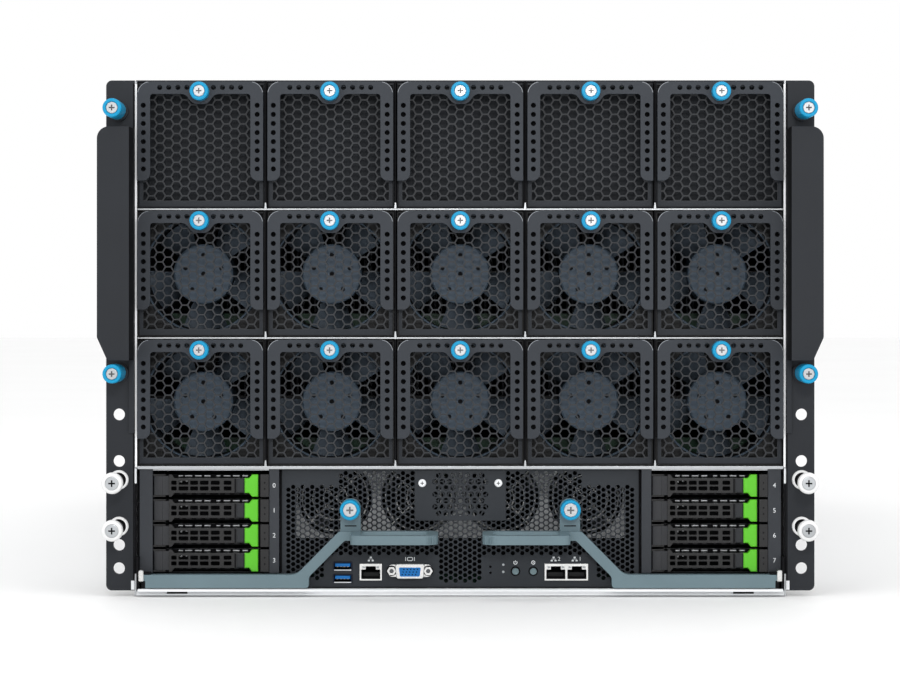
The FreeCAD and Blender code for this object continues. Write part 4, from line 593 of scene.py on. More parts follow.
def add_thumbscrew(shape, x, back, z, radius, length, core, knurled, sunk):
    """Cap with its back at y = back, knurled over its front part, its cross recess sunk by a depth."""
    front = -length
    shape.lathe([(radius - 0.1, 0.05), (radius, -0.6), (radius, front + knurled + 0.5),
                 (radius + 0.25, front + knurled, 0.3), (radius + 0.25, front + 1.5, 0.3), (radius, front + 0.6),
                 (radius - 0.7, front), (core + 0.6, front), (core + 0.1, front + 0.7)],
                (x, back, z), 0, 64, closed=(True, False))
    shape.lathe([(core + 0.05, front + 1.1), (core + 0.05, front + 0.35), (core - 0.35, front + 0.05)],
                (x, back, z), 1, 32, closed=OPEN)
    shape.cross_head(x, z, back + front + 0.05, core - 0.35, sunk, 1, 2)


OVER = 0.3
SUNK = 0.2
shape = Shape()
add_thumbscrew(shape, 0, 0, 0, CAP_RADIUS, CAP_LENGTH + OVER, CORE_RADIUS, CAP_LENGTH - 1.5, SUNK)
put_on_modules("module_cap", shape.mesh("module_cap", [KNOB, BRIGHT, RECESS_SHADE]), bracket_y, module_screw_z)
shape = Shape()
add_thumbscrew(shape, 0, 0, 0, CAM_CAP_RADIUS, CAM_CAP_LENGTH + OVER, CAM_CORE_RADIUS, CAM_CAP_LENGTH - 2.0, SUNK)
cam_cap = shape.mesh("cam_cap", [KNOB, BRIGHT, RECESS_SHADE])
for side, sign in SIDES:
    put(f"cam_cap_{side}", cam_cap, f"cam_lever_{side}",
        (sign * CAM_SCREW[0], CAM_CAP_BACK, CAM_SCREW[1]))

# Ear screws: long blue caps with dark collars, and white rack screws with grey cores
EAR_KNURL = 14.0
EAR_SUNK = 1.0
cap_back = thumb_low[1] + EAR_CAP_LENGTH
shape = Shape()
for x in (-hole_x, hole_x):
    for z in thumb_z:
        add_thumbscrew(shape, x, cap_back, z, CAP_RADIUS, EAR_CAP_LENGTH, CORE_RADIUS, EAR_KNURL, EAR_SUNK)
        shape.lathe([(2.5, cap_back - 0.5), (2.5, thumb_high[1] - 1), (1.9, thumb_high[1])], (x, 0, z), 1, 24)
        shape.lathe([(FERRULE_RADIUS - 0.5, -FERRULE_LENGTH), (FERRULE_RADIUS, -1.9), (FERRULE_RADIUS, 0)],
                    (x, ear_face, z), 3, 40)
shape.piece("ear_screw_set", [KNOB, BRIGHT, RECESS_SHADE, COAT], "chassis", "knob_blue", ["ear_thumbscrews"])
RACK_CORE = 4.5
RACK_SHANK = 3.0
rack_length = rack_high[1] - rack_low[1]
shape = Shape()
for x in (-hole_x, hole_x):
    for z in rack_z:
        head, ear, radius = (x, rack_low[1], z), (x, ear_face, z), RACK_HEAD_RADIUS
        shape.lathe([(radius - 1.2, RACK_HEAD_LENGTH), (radius, RACK_HEAD_LENGTH - 1), (radius, 2.2),
                     (radius - 0.6, 0.7), (radius - 1.6, 0.05), (RACK_CORE + 0.2, 0.05), (RACK_CORE, 0.6)],
                    head, 0, 48, closed=(True, False))
        shape.lathe([(RACK_CORE, 0.6), (RACK_CORE - 0.1, 0.15), (RACK_CORE - 0.5, 0.05)], head, 1, 32, closed=OPEN)
        shape.cross_head(x, z, rack_low[1] + 0.05, RACK_CORE - 0.5, 1.2, 1, 2)
        shape.lathe([(RACK_SHANK, RACK_HEAD_LENGTH - 0.5), (RACK_SHANK, rack_length - 1), (2.2, rack_length)],
                    head, 3, 24)
        shape.lathe([(FERRULE_RADIUS, 0), (FERRULE_RADIUS, -1.9), (FERRULE_RADIUS - 0.4, -FERRULE_LENGTH),
                     (5.1, -FERRULE_LENGTH), (5.0, -0.6)], ear, 0, 40, closed=OPEN)
        # Deep black ring inside each collar round the shank: painted shade in the collar's hole
        shape.lathe([(5.0, -0.6), (RACK_SHANK, -0.6)], ear, 2, 40, closed=OPEN)
shape.piece("rack_screw_set", [NYLON, BRIGHT, DARK, SUPPLY], "chassis", "bright_steel", ["rack_screws"])

# Tray front panel: fine hexagon holes, a plain band for the sockets, a plain field at each upper corner
PANEL_GAP = 1.4
PITCH = 3.77
STEP = PITCH * math.sqrt(3) / 2
HOLE = 1.62
MESH_FOOT = 8.5
SIDE_FOOT = 11
CAM_FIELD = 5.2
MIDDLE_X = 15.2
MIDDLE_TOP = 40
BAND_TOP = 28.4
BAND_X = 93.0
SIDE_X = 82.5
CORNER_Z = 75.2
panel_half = panel_high[0] - PANEL_GAP


def window(x, z, wide, tall, play=0.2):
    """Opening for a socket with the panel's play round it."""
    return rectangle(x - wide / 2 - play, z - tall / 2 - play, x + wide / 2 + play, z + tall / 2 + play)


holes = [window(USB_X, z, *USB_SIZE) for z in USB_Z]
holes += [window(JACKS[0], JACK_Z, 15.2, JACK_HEIGHT), window(72.5, JACK_Z, 29.7, JACK_HEIGHT),
          window(*VIDEO, 15.6, 7.2)]
holes += [ring(*place, 2.5, 20) for place in (POWER, IDENT)]
holes += [ring(*place, 0.9, 10) for place in LAMPS + PINHOLES]
holes += [ring(sign * CAM_SCREW[0], CAM_SCREW[1], 2.7, 16) for sign in SIGNS]


def perforated(x, z):
    """Whether the panel has a hole of its mesh at this place."""
    reach = abs(x)
    if reach > panel_half - 2.4 or z > panel_high[2] - 2.6 or z < MESH_FOOT:
        return False
    if math.hypot(reach - CAM_SCREW[0], z - CAM_SCREW[1]) < CAM_FIELD:
        return False
    if reach < MIDDLE_X and z < MIDDLE_TOP:
        return True
    if reach > SIDE_X and z > CORNER_Z:
        return False
    return z > BAND_TOP or (reach > BAND_X and z > SIDE_FOOT)


for column in range(-40, 41):
    for row in range(25):
        x = column * STEP
        z = panel_low[2] + 2.4 + PITCH * (row + 0.5 * (column % 2))
        if perforated(x, z):
            holes.append(ring(x, z, HOLE, 6))
shape = Shape()
shape.sheet(rectangle(panel_low[0] + PANEL_GAP, panel_low[2], panel_half, panel_high[2], 1.0, 3), holes,
            panel_y, panel_back)
# Deep black strips behind the panel's side gaps: painted shade in the gaps
shape.twins((panel_half - 0.5, panel_back + 0.1, panel_low[2]), (panel_high[0], panel_back + 0.6, panel_high[2]), 1)
shape.piece("tray_panel", [PANEL, DARK], "tray", "black_steel", ["tray_front_panel"])

# Service cover with larger round holes and two cross-head screws
COVER = (31.0, 50.8, 85.4)
SERVICE_SCREW = (26.0, 76.5)
shape = Shape()
holes = []
for row in range(7):
    count = 8 if row % 2 else 7
    holes += [ring((k - (count - 1) / 2) * 4.93, 55.9 + row * 4.3, 1.9, 12) for k in range(count)]
shape.sheet(rectangle(-COVER[0], COVER[1], COVER[0], COVER[2], 1.5, 3), holes, panel_y - 1.0, panel_y - 0.02)
for sign in SIGNS:
    shape.screw(sign * SERVICE_SCREW[0], SERVICE_SCREW[1], panel_y - 1.0, -1.5, 2.7, 1, 2)
shape.piece("service_cover", [PANEL, EDGE, RECESS_SHADE], "tray", "black_steel")

# Sockets: blue tongues with a pale lip, network sockets with stepped openings, video plug face with two nuts
shape = Shape()
for z in USB_Z:
    shape.slab((USB_X - 5.2, nose_y + 0.3, z - 0.3), (USB_X + 5.2, nose_y + 9, z + 1.95), 0, 0.2)
    shape.slab((USB_X - 5.9, nose_y - 0.12, z - 2.95), (USB_X + 5.9, nose_y + 0.3, z - 2.25), 1, 0.1)
    for k in range(4):
        middle = USB_X + 2.4 * (k - 1.5)
        shape.slab((middle - 0.55, nose_y + 0.9, z - 0.5), (middle + 0.55, nose_y + 8, z - 0.28), 2, 0.03)
for x in JACKS:
    shape.twins((3.4, nose_y - 0.05, JACK_Z + 1.7), (5.95, nose_y + 10, JACK_Z + 4.05), 4, 0.15, x)
    shape.twins((3.9, nose_y - 0.15, JACK_Z + 2.7), (5.6, nose_y + 0.3, JACK_Z + 3.8), 5, 0.1, x)
    shape.twins((5.9, nose_y - 0.06, JACK_Z - 4.6), (6.5, nose_y + 0.2, JACK_Z + 1.7), 6, 0, x)
    shape.slab((x - 6.5, nose_y - 0.05, JACK_Z - 4.7), (x + 6.5, nose_y + 0.2, JACK_Z - 3.9), 6)
    shape.slab((x - 5.7, nose_y + 7, JACK_Z - 3.9), (x + 5.7, nose_y + 11, JACK_Z - 0.6), 3, 0.3)
shape.piece("socket_inserts", [PORT_BLUE, WHITE, GOLD, CHIP, SOCKET, CLEAR, DARK], "tray", "socket_steel")

VIDEO_FRONT = panel_y - 5.5
VIDEO_NUT = 12.5


def video_loop(x, z, wide, tall, slant, radius):
    """Outline of the video socket, narrower at its foot."""
    points = []
    for cx, cz, first in ((wide, tall, 0), (-wide, tall, 90), (slant - wide, -tall, 180), (wide - slant, -tall, 270)):
        points += arc(x + cx, z + cz, radius, first, first + 90, 5)
    return points


shape = Shape()
shape.plate(video_loop(*VIDEO, 8.4, 3.5, 0.7, 1.6), VIDEO_FRONT, nose_y, 0, 0.4)
pins = [ring(VIDEO[0] + 2.3 * (k - 2) + 0.6 * (row - 1), VIDEO[1] - 0.4 + 1.75 * (row - 1), 0.5, 10)
        for row in range(3) for k in range(5)]
plug = video_loop(VIDEO[0], VIDEO[1] - 0.4, 6.6, 2.3, 0.6, 0.8)
shape.sheet(plug, pins, VIDEO_FRONT - 0.25, VIDEO_FRONT - 0.05, 1)
# Deep black plate behind the pin holes: painted shade in the holes
shape.plate(inset(plug, 0.15), VIDEO_FRONT - 0.03, VIDEO_FRONT - 0.01, 2)
shape.plate(rectangle(VIDEO[0] - 15.4, VIDEO[1] - 4.3, VIDEO[0] + 15.4, VIDEO[1] + 4.3, 3.6, 5), nose_y - 0.3, panel_y,
            0, 0.2)
for x in (VIDEO[0] - VIDEO_NUT, VIDEO[0] + VIDEO_NUT):
    shape.lathe([(3.6, -0.32), (3.6, -0.36)], (x, nose_y, VIDEO[1]), 2, 24)
    shape.sheet(ring(x, VIDEO[1], 3.1, 6), [ring(x, VIDEO[1], 1.5, 16)], VIDEO_FRONT + 1.5, nose_y - 0.3, 0)
    shape.lathe([(1.55, 2.2), (1.5, 2.3)], (x, VIDEO_FRONT, VIDEO[1]), 3, 16)
shape.piece("video_socket", [SOCKET, PORT_BLUE, DARK, RECESS_SHADE], "tray", "socket_steel")

# Buttons with dimpled caps, dark rings round them, unlit lamps and small printed signs
shape = Shape()
shape.lathe([(2.06, 1.0), (2.06, -0.1), (2.3, -0.2), (2.3, -0.6), (2.0, -0.85), (1.1, -0.75), (0.4, -0.68)], (0, 0, 0))
button_cap = shape.mesh("button_cap", [BUTTON])
for name, (x, z) in (("power", POWER), ("ident", IDENT)):
    put(f"{name}_cap", button_cap, f"{name}_button", (x, span(f"{name}_button")[0][1], z))
shape = Shape()
for x, z in (POWER, IDENT):
    shape.lathe([(3.3, 0.02), (3.2, -0.3), (2.65, -0.3), (2.55, 0.9)], (x, panel_y, z), 0, 36, closed=OPEN)
for x, z in LAMPS:
    shape.lathe([(0.85, 0.8), (0.85, -0.05), (0.6, -0.3), (0.25, -0.38)], (x, panel_y, z), 1, 16)
shape.piece("button_rings", [DARK, CLEAR], "tray", "button_black")
PRINT_Y = panel_y - 0.06
BUTTON_SIGN_Z = 22.1
SIGN_Z = 24.5
shape = Shape()
shape.ribbon(arc(POWER[0], BUTTON_SIGN_Z, 1.15, 130, 410, 20), 0.26, PRINT_Y)
shape.ribbon([(POWER[0], BUTTON_SIGN_Z + 0.1), (POWER[0], BUTTON_SIGN_Z + 1.5)], 0.24, PRINT_Y)
shape.ribbon(arc(IDENT[0], BUTTON_SIGN_Z, 1.15, 0, 360, 24), 0.26, PRINT_Y)
shape.ribbon([(IDENT[0] - 0.35, BUTTON_SIGN_Z), (IDENT[0] + 0.35, BUTTON_SIGN_Z)], 0.35, PRINT_Y)
screen = rectangle(VIDEO[0] - 1.8, SIGN_Z - 1.1, VIDEO[0] + 1.8, SIGN_Z + 1.1, 0.9, 4)
shape.ribbon(screen + screen[:1], 0.26, PRINT_Y)
for x in (VIDEO[0] - 3.0, VIDEO[0] + 3.0):
    shape.ribbon([(x, SIGN_Z - 1.3), (x, SIGN_Z + 1.3)], 0.24, PRINT_Y)
for x in (JACKS[0], JACKS[1] - 1.5, JACKS[2] - 1.5):
    fork = [(x - 1.3, SIGN_Z - 0.7), (x - 1.3, SIGN_Z), (x + 1.3, SIGN_Z), (x + 1.3, SIGN_Z - 0.7)]
    shape.ribbon(fork, 0.14, PRINT_Y)
    shape.ribbon([(x, SIGN_Z), (x, SIGN_Z + 0.7)], 0.14, PRINT_Y)
    for dx, dz in ((0, 1.1), (-1.3, -1.1), (1.3, -1.1)):
        shape.ribbon([(x + dx - 0.7, SIGN_Z + dz), (x + dx + 0.7, SIGN_Z + dz)], 0.5, PRINT_Y)
shape.piece("panel_signs", [WHITE], "tray", "socket_steel")

# Drive levers: blunt end at the hinge, slotted face, grey insert and green latch
TALL = 15.3
TIP = 62.5
NOTCH = 2.6
LUG_ROOM = 1.15
HINGE_END = ((0.35, 5.0), (0.35, 2.3), (0.6, 1.7), (1.1, 1.3), (2.2, 0.8), (3.6, 0.5), (5.6, 0.35), (6.4, 0.45),
             (6.6, 0.75), (9.6, 1.05), (10.6, 1.5), (11.0, 1.5), (11.0, 5.0))
FACE_LEFT = ((10.9, 0.05), (12.6, 0.05), (14.6, NOTCH))
SLOTS = ((12.4, 16.1), (17.4, 24.1), (25.3, 30.7), (31.9, 37.9), (39.4, 45.5), (48.2, 53.5))
SLOT_ROWS = ((4.3, 7.1), (8.2, 11.0))
DASHES = ((16.5, 3.2), (21.1, 4.9), (27.9, 4.6), (34.3, 4.3), (42.5, 2.8), (47.5, 4.6), (53.9, 4.6), (60.4, 3.8))
LATCH_END = TIP + 9.2
LATCH_LOWER = ((TIP, NOTCH), (TIP + 3, NOTCH), (TIP + 5, 0.1), (LATCH_END, 0.1))


def both_halves(lower):
    """Loop from its lower half, mirrored at half the lever's height."""
    return list(lower) + [(x, TALL - z) for x, z in reversed(lower)]


shape = Shape()
count = len(HINGE_END)
# The blunt hinge end takes the lighter end finish, a painted highlight on its rounding
shape.add([(x, y, z) for z in (LUG_ROOM, TALL - LUG_ROOM) for x, y in HINGE_END],
          [tuple(range(count)), tuple(range(count, 2 * count))] + loft(2, count), 3)
slots = [rectangle(left, low, right, high, 0.6, 2) for left, right in SLOTS for low, high in SLOT_ROWS]
shape.sheet(both_halves(FACE_LEFT + ((TIP, NOTCH),)), slots, 0.9, 5.0, 0)
shape.slab((57.0, 0.4, NOTCH + 0.25), (62.2, 5.0, TALL - NOTCH - 0.25), 1, 0.5)
shape.slab((55.6, 0.82, NOTCH + 0.25), (56.6, 4.0, TALL - NOTCH - 0.25), 4)
shape.plate(both_halves(LATCH_LOWER), 0.0, 5.8, 2, 0.6)
shape.slab((LATCH_END + 0.05, 1.5, 0.5), (TIP + 10.1, 5.6, TALL - 0.5), 4)
bezel = shape.mesh("drive_bezel", [BEZEL, BEZEL_GREY, LATCH, BEZEL_END, DARK])

# Bright sled edge behind the lever's notches and a darker copy at the lower notches as painted shade, small screws
# behind its slots, and lamps in the end piece
shape = Shape()
for left, wide in DASHES:
    shape.slab((left, 7.5, TALL - 1.9), (left + wide, 9.9, TALL - 1.0), 0, 0.1)
    # Lower dashes of the same edge in a darker finish: painted shade
    shape.slab((left + 0.8, 8.3, 1.1), (left + wide - 0.4, 9.9, 1.8), 2, 0.1)
for x, z in ((18.4, 9.7), (22.0, 10.2)):
    shape.lathe([(0.7, 9.9), (0.7, 8.6), (0.4, 8.3)], (x, 0, z), 3, 10)
for z in (5.4, 9.6):
    shape.lathe([(0.55, 0.29), (0.5, 0.18), (0.25, 0.12)], (76.2, 0, z), 1, 12)
trim = shape.mesh("carrier_trim", [SUPPLY, DARK, BEZEL_END, EDGE])
for k in range(DRIVES):
    low, high = span(f"drive_carrier_{k}")
    corner = (low[0], low[1] - 0.3, low[2])
    put(f"drive_bezel_{k}", bezel, f"drive_lever_{k}", corner, [f"drive_lever_{k}"])
    put(f"carrier_trim_{k}", trim, f"drive_carrier_{k}", corner)


# Plain numerals on the posts, one for each carrier, and one for each of the two network sockets

def numeral(name, text, size, x, front, z):
    curve = bpy.data.curves.new(name, "FONT")
    curve.body = text
    curve.size = size * MM
    curve.extrude = 0.05 * MM
    curve.align_x = curve.align_y = "CENTER"
    maker = bpy.data.objects.new(name + "_curve", curve)
    data = bpy.data.meshes.new_from_object(maker)
    data.name = name
    data.materials.clear()
    data.materials.append(WHITE)
    piece = put(name, data, "tray", (x, front, z))
    piece.rotation_euler = (math.pi / 2, 0, 0)


POST_NUMERAL_X = (-127.0, 214.3)
for k in range(DRIVES):
    low, high = span(f"drive_carrier_{k}")
    numeral(f"numeral_{k}", str(k), 4.4, POST_NUMERAL_X[k // 4], drives_low[1] - 0.08, (low[2] + high[2]) / 2)
for k, text in ((1, "2"), (2, "1")):
    numeral(f"socket_numeral_{k}", text, 3.9, JACKS[k] + 2.2, panel_y - 0.08, SIGN_Z)

# Bright strip along each drive cage's roof
shape = Shape()
for node in ("drive_carrier_0", "drive_carrier_4"):
    low, high = span(node)
    shape.slab((low[0], drives_low[1] - 0.1, drives_high[2] - 0.9), (high[0], drives_low[1] + 4, drives_high[2] + 0.5),
               0, 0.05)
shape.piece("cage_strips", [SUPPLY], "tray", "post_black")

# Bare steel edges of the chassis, rubber feet, and deep black strips of painted shade beside the tray and under the
# handles
HAIR = 0.04
edge_y = shell_low[1] - 0.15
edge_back = edge_y + 0.6
strip_back = ear_face + 0.5
wall_x = shell_high[0]
roof = shell_high[2]
shelf = cage_low[2]
shape = Shape()
shape.twins((wall_x - 1.9, edge_y, shelf + 0.6), (wall_x + 0.05, edge_back, roof - 2.0), 1, HAIR)
# A brighter copy of the edge: painted highlight where the handles shade the edge
shape.twins((wall_x - 1.6, edge_y - 0.1, shelf + 0.6), (wall_x - 0.2, edge_y + 0.5, roof - 2.0), 4, HAIR)
shape.twins((wall_x - 1.3, edge_y, shelf - 10.5), (wall_x + 0.05, edge_back, shelf - 0.8), 0, HAIR)
# The edge beside the tray painted deep black: painted shade
shape.twins((wall_x - 1.3, edge_y, 15.0), (wall_x + 0.05, edge_back, shelf - 11.0), 1, HAIR)
shape.twins((wall_x, ear_face - 0.12, 4.2), (wall_x + 2.3, strip_back, 10.4), 0, HAIR)
# Deep black strips on the ears under the handles and along the ears' inner edges: painted shade
shape.twins((wall_x + 0.1, ear_face - 0.1, 162.0), (wall_x + 4.2, strip_back, 317.0), 1, HAIR)
shape.twins((wall_x + 0.08, ear_face - 0.06, 11.0), (wall_x + 1.0, strip_back, roof - 1.5), 1, HAIR)
# The deck's front edge in a dimmer copy of the edge colour: painted shade
shape.slab((1.9 - wall_x, edge_y, shelf - 0.95), (wall_x - 1.9, edge_back, shelf + 0.35), 3, HAIR)
shape.slab((1.3 - wall_x, edge_y, 0.2), (wall_x - 1.3, edge_back, 3.0), 0, HAIR)
shape.twins((186.0, edge_y - 0.3, 1.4), (200.0, edge_y + 0.3, 2.7), 2, HAIR)
shape.piece("chassis_edges", [EDGE, DARK, RUBBER, SHADED_EDGE, LIT_EDGE], "chassis", "galvanised_steel")

# Bare lip of the tray and the clips at the cam levers' outer ends
CLIP_Y = CAM_CAP_BACK - 4.0
shape = Shape()
shape.slab((tray_low[0] + 1.0, tray_low[1] - 0.3, tray_low[2] + 0.05),
           (tray_high[0] - 1.0, tray_low[1] + 0.5, tray_low[2] + 1.6), 0, 0.1)
shape.twins((213.9, CLIP_Y, 5.2), (219.0, CLIP_Y + 1.0, 10.8), 1, 0.2)
shape.twins((215.2, CLIP_Y - 0.4, 10.2), (218.8, CLIP_Y + 0.8, 17.8), 2, 0.5)
shape.twins((216.4, CLIP_Y, 5.0), (218.4, panel_y, 18.0), 2, 0.3)
shape.piece("tray_edges", [EDGE, DARK, SOCKET], "tray", "galvanised_steel")

# Cam levers: slit in the tab and ridges on the grip's inner end
RIDGE_PITCH = 1.7
for side, sign in SIDES:
    shape = Shape()
    x = sign * CAM_SCREW[0]
    shape.slab((x - 4.0, CAM_CAP_BACK - 0.12, 47.4), (x + 4.0, CAM_CAP_BACK + 0.5, 48.2), 0)
    for k in range(5):
        ridge = cam_low[0] + 1.4 + RIDGE_PITCH * k
        left, right = sorted((sign * ridge, sign * (ridge + 0.6)))
        shape.slab((left, cam_low[1], GRIP_Z[0] + 0.8), (right, cam_low[1] + 0.6, GRIP_Z[1] - 0.8), 1, 0.15)
    shape.piece(f"cam_details_{side}", [DARK, CAM], f"cam_lever_{side}", "cam_grey")

# Fan module fronts: painted highlight bands on the brackets' rounded corners, border of the mesh, painted shade on the
# mesh border behind the bracket legs
BRACKET_HALF = 42.76
BRACKET_CORNER = 8.5
MESH_HALF = 42.2
border = (mesh_y - 0.12, mesh_y - 0.01)
shape = Shape()
# Flat bands of the lighter coat along the top corners: painted highlight
for sign, first in ((-1, 98), (1, 8)):
    shape.ribbon(arc(sign * (BRACKET_HALF - BRACKET_CORNER), module_tall - BRACKET_CORNER, BRACKET_CORNER - 0.25,
                     first, first + 74, 12), 0.2, bracket_y - 0.06)
shape.twins((39.8, border[0], 4.9), (MESH_HALF, border[1], 18.5), 1)
# Deep black upper sides of the mesh border: painted shade behind the bracket legs
shape.twins((36.6, border[0], 19.5), (MESH_HALF, border[1], module_tall - 1.5), 2)
shape.slab((-MESH_HALF, border[0], 1.05), (MESH_HALF, border[1], 4.9), 1)
put_on_modules("module_front", shape.mesh("module_front", [RIM_HIGHLIGHT, MESH_RIM, DARK]), 0, module_low[2])

# Rounded mouth of each fan's duct, in the lighter hub colour on the black frame as a painted highlight
DUCT_RADIUS = 39.25
shape = Shape()
shape.lathe([(DUCT_RADIUS + 0.05, 1.0), (DUCT_RADIUS + 0.15, -0.2), (DUCT_RADIUS + 0.6, -0.7),
             (DUCT_RADIUS + 1.3, -0.7), (DUCT_RADIUS + 1.8, -0.02)], (0, 0, 0), 0, 64, closed=OPEN)
put_on_modules("duct_mouth", shape.mesh("duct_mouth", [HUB]), hub_y - 2.5, fan_z, FAN_ROWS)

# Fan hubs: rim and a face with five balance holes round the shaft's, with deep black discs in the holes as painted
# shade
BALANCE_RADIUS = 13
HUB_FACE = 19.6
shape = Shape()
spots = [(BALANCE_RADIUS * math.cos(math.pi * (0.5 + 0.4 * k)), BALANCE_RADIUS * math.sin(math.pi * (0.5 + 0.4 * k)))
         for k in range(5)]
shape.sheet(ring(0, 0, HUB_FACE, 48), [ring(x, z, 1.5, 12) for x, z in spots] + [ring(0, 0, 1.6, 12)], -0.6, -0.02, 0)
shape.lathe([(HUB_FACE, -0.6), (20.3, -0.3), (20.62, 0.5), (20.62, 6.0)], (0, 0, 0), 0, 48, closed=OPEN)
# Deep black discs in the holes: painted shade
for x, z in spots + [(0, 0)]:
    shape.lathe([(1.7, -0.05), (0.6, -0.04)], (x, 0, z), 1, 12)
put_on_modules("hub_face", shape.mesh("hub_face", [HUB, DARK]), hub_y, fan_z, FAN_ROWS, "fan_rotor")

# Bright tabs at the foot of the gaps between modules
shape = Shape()
for row in range(len(ROWS)):
    foot = cage_low[2] + 1.0 + row * row_pitch
    for x in divider_x:
        shape.plate([(x - 0.8, foot), (x + 0.8, foot), (x + 0.4, foot + 4.0), (x - 0.4, foot + 4.0)],
                    cage_low[1] - 0.2, cage_low[1] + 1.0)
shape.piece("cage_tabs", [ZINC], "chassis", "galvanised_steel")

# Guard plate before the tray fans: pale sheet with round openings on a dark bracket between the drive cages
GUARD_Y = -345.0
GUARD_PITCH = 59.5
GUARD_X = 117.0
GUARD_LOW, GUARD_MID, GUARD_TOP = 32.0, 60.8, 85.3
GUARD_RINGS = (8.5, 16.0, 23.5)
GUARD_WIRE = 0.6
SPOKE = 20
guard_x = [(k - 1.5) * GUARD_PITCH for k in range(4)]
shape = Shape()
openings = [[(px, min(pz, GUARD_TOP - 0.6)) for px, pz in ring(x, GUARD_MID, 26.6, 48)] for x in guard_x]
shape.sheet(rectangle(-GUARD_X, GUARD_LOW, GUARD_X, GUARD_TOP), openings, GUARD_Y, GUARD_Y + 1.0)
shape.slab((panel_low[0], GUARD_Y + 0.2, tray_low[2] + 1.25), (panel_high[0], GUARD_Y + 0.9, GUARD_LOW), 1)
shape.twins((GUARD_X, GUARD_Y + 0.2, GUARD_LOW), (panel_high[0], GUARD_Y + 0.9, GUARD_TOP), 1)
shape.piece("fan_wall", [FRAME_GREY, DARK], "tray", "galvanised_steel")
shape = Shape()
for x in guard_x:
    for radius in GUARD_RINGS:
        shape.wire(ring(x, GUARD_MID, radius, 36), GUARD_WIRE, GUARD_Y - GUARD_WIRE, True)
    for rise in (-SPOKE, SPOKE):
        spoke = [(x - SPOKE, GUARD_MID - rise), (x + SPOKE, GUARD_MID + rise)]
        shape.wire(spoke, GUARD_WIRE, GUARD_Y - GUARD_WIRE, False)
shape.piece("fan_guards", [WIRE], "tray", "bright_steel", smooth=80)

# Top cover: pressed lines, latch in a shallow recess, countersunk screws; drawn lying down, then turned up
COVER_SKIN = 0.6
LATCH_Y = (-312.0, -284.0)
top = cover_high[2]
skin = top - COVER_SKIN
cover_front = cover_low[1] + 0.5
shape = Shape()
grooves = [rectangle(-212, y, 212, y + 3.0, 1.4, 3) for y in (-336.0, 130.0)]
recess = rectangle(-40, LATCH_Y[0], 40, LATCH_Y[1], 5, 4)
screws = [(x, y) for x in (-211, 211) for y in (-400, -250, -100, 50, 250, 420)]
screws += [(x, y) for x in (-105, 0, 105) for y in (-404, 424)]
sinks = [ring(x, y, 3.7, 20) for x, y in screws]
shape.sheet(rectangle(cover_low[0], cover_front, cover_high[0], cover_high[1], 1.0, 2), grooves + [recess] + sinks,
            top, skin, 0)
for x, y in screws:
    shape.screw(x, y, skin, COVER_SKIN - 0.1, 3.3, 1, 2)
shape.lay((0, 2, 1))
shape.slab((cover_low[0], cover_front, cover_low[2] + 0.05), (cover_high[0], cover_high[1], skin), 0)
shape.slab((cover_low[0], cover_low[1], cover_low[2]), (cover_high[0], cover_front, top), 3, 0.1)
shape.slab((-31, LATCH_Y[0] + 4, skin), (31, LATCH_Y[1] - 4, top - 0.1), 3, 0.2)
shape.slab((14, LATCH_Y[0] + 7, top - 0.3), (28, LATCH_Y[1] - 7, top - 0.02), 4, 0.1)
shape.piece("cover_sheet", [ZINC, BRIGHT, DARK, COAT, KNOB], "cover", "galvanised_steel", ["top_cover"])

# Sides: cover screws, deck rivets, rail studs and the screws of the ears; drawn facing front, then turned
FLANGE = 2.0
STUD_Z = 44.0
for side, sign in SIDES:
    shape = Shape()
    wall = sign * wall_x
    for k in range(7):
        shape.screw(-320 + 120 * k, roof - 14, wall, sign * 1.2, 3.0, 0, 1)
    for k in range(8):
        shape.lathe([(2.4, 0), (2.1, sign * 0.6), (1.0, sign * 0.95)], (-330 + 100 * k, wall, shelf + 0.5), 0, 16)
    for y in (-270, 30, 330):
        shape.lathe([(4.0, 0), (4.0, sign * 2.2), (6.4, sign * 2.4), (6.4, sign * 4.2), (5.6, sign * 4.8)],
                    (y, wall, STUD_Z), 0, 28)
    for z in (30, 110, 200, 290, 340):
        for y in (-405, -372):
            shape.screw(y, z, wall + sign * FLANGE, sign * 1.1, 3.2, 0, 1)
    shape.lay((1, 0, 2))
    shape.piece(f"side_screws_{side}", [BRIGHT, DARK], "chassis", "bright_steel")

# Rear panel: vented slot covers, pan-head screws, and deep black sheets behind the vents as painted shade that also
# keep light from showing through
rear_low, rear_high = span("rear_panel")
rear_y = rear_high[1]
SLOT_COVERS = 11
SLOT_PITCH = 36.0
SLOT_MID = rear_low[2] + 46.0
shape = Shape()
for k in range(SLOT_COVERS):
    x = (k - (SLOT_COVERS - 1) / 2) * SLOT_PITCH
    vents = [ring(x + sign * 2.6, SLOT_MID - 26 + 4.7 * j, 1.6, 10) for j in range(12) for sign in SIGNS]
    shape.sheet(rectangle(x - 6.8, SLOT_MID - 35.8, x + 6.8, SLOT_MID + 35.8), vents, rear_y - 1.1, rear_y - 0.5, 0)
    # Deep black sheet behind each cover's vents: painted shade
    shape.slab((x - 6.5, rear_y - 1.18, SLOT_MID - 35.5), (x + 6.5, rear_y - 1.12, SLOT_MID + 35.5), 2)
    shape.screw(x, SLOT_MID + 40.5, rear_y, 1.5, 2.8, 1, 2)
for x in (-200, -120, -40, 40, 120, 200):
    for z in (rear_high[2] - 6, SLOT_MID + 48.5, rear_low[2] + 5):
        shape.screw(x, z, rear_y, 1.3, 2.6, 1, 2)
# Deep black sheet inside the panel behind its vents: painted shade
shape.slab((-208, rear_low[1] - 0.8, SLOT_MID + 50), (208, rear_low[1] - 0.2, rear_high[2] - 2), 2)
shape.piece("slot_covers", [SUPPLY, BRIGHT, DARK], "chassis", "galvanised_steel")

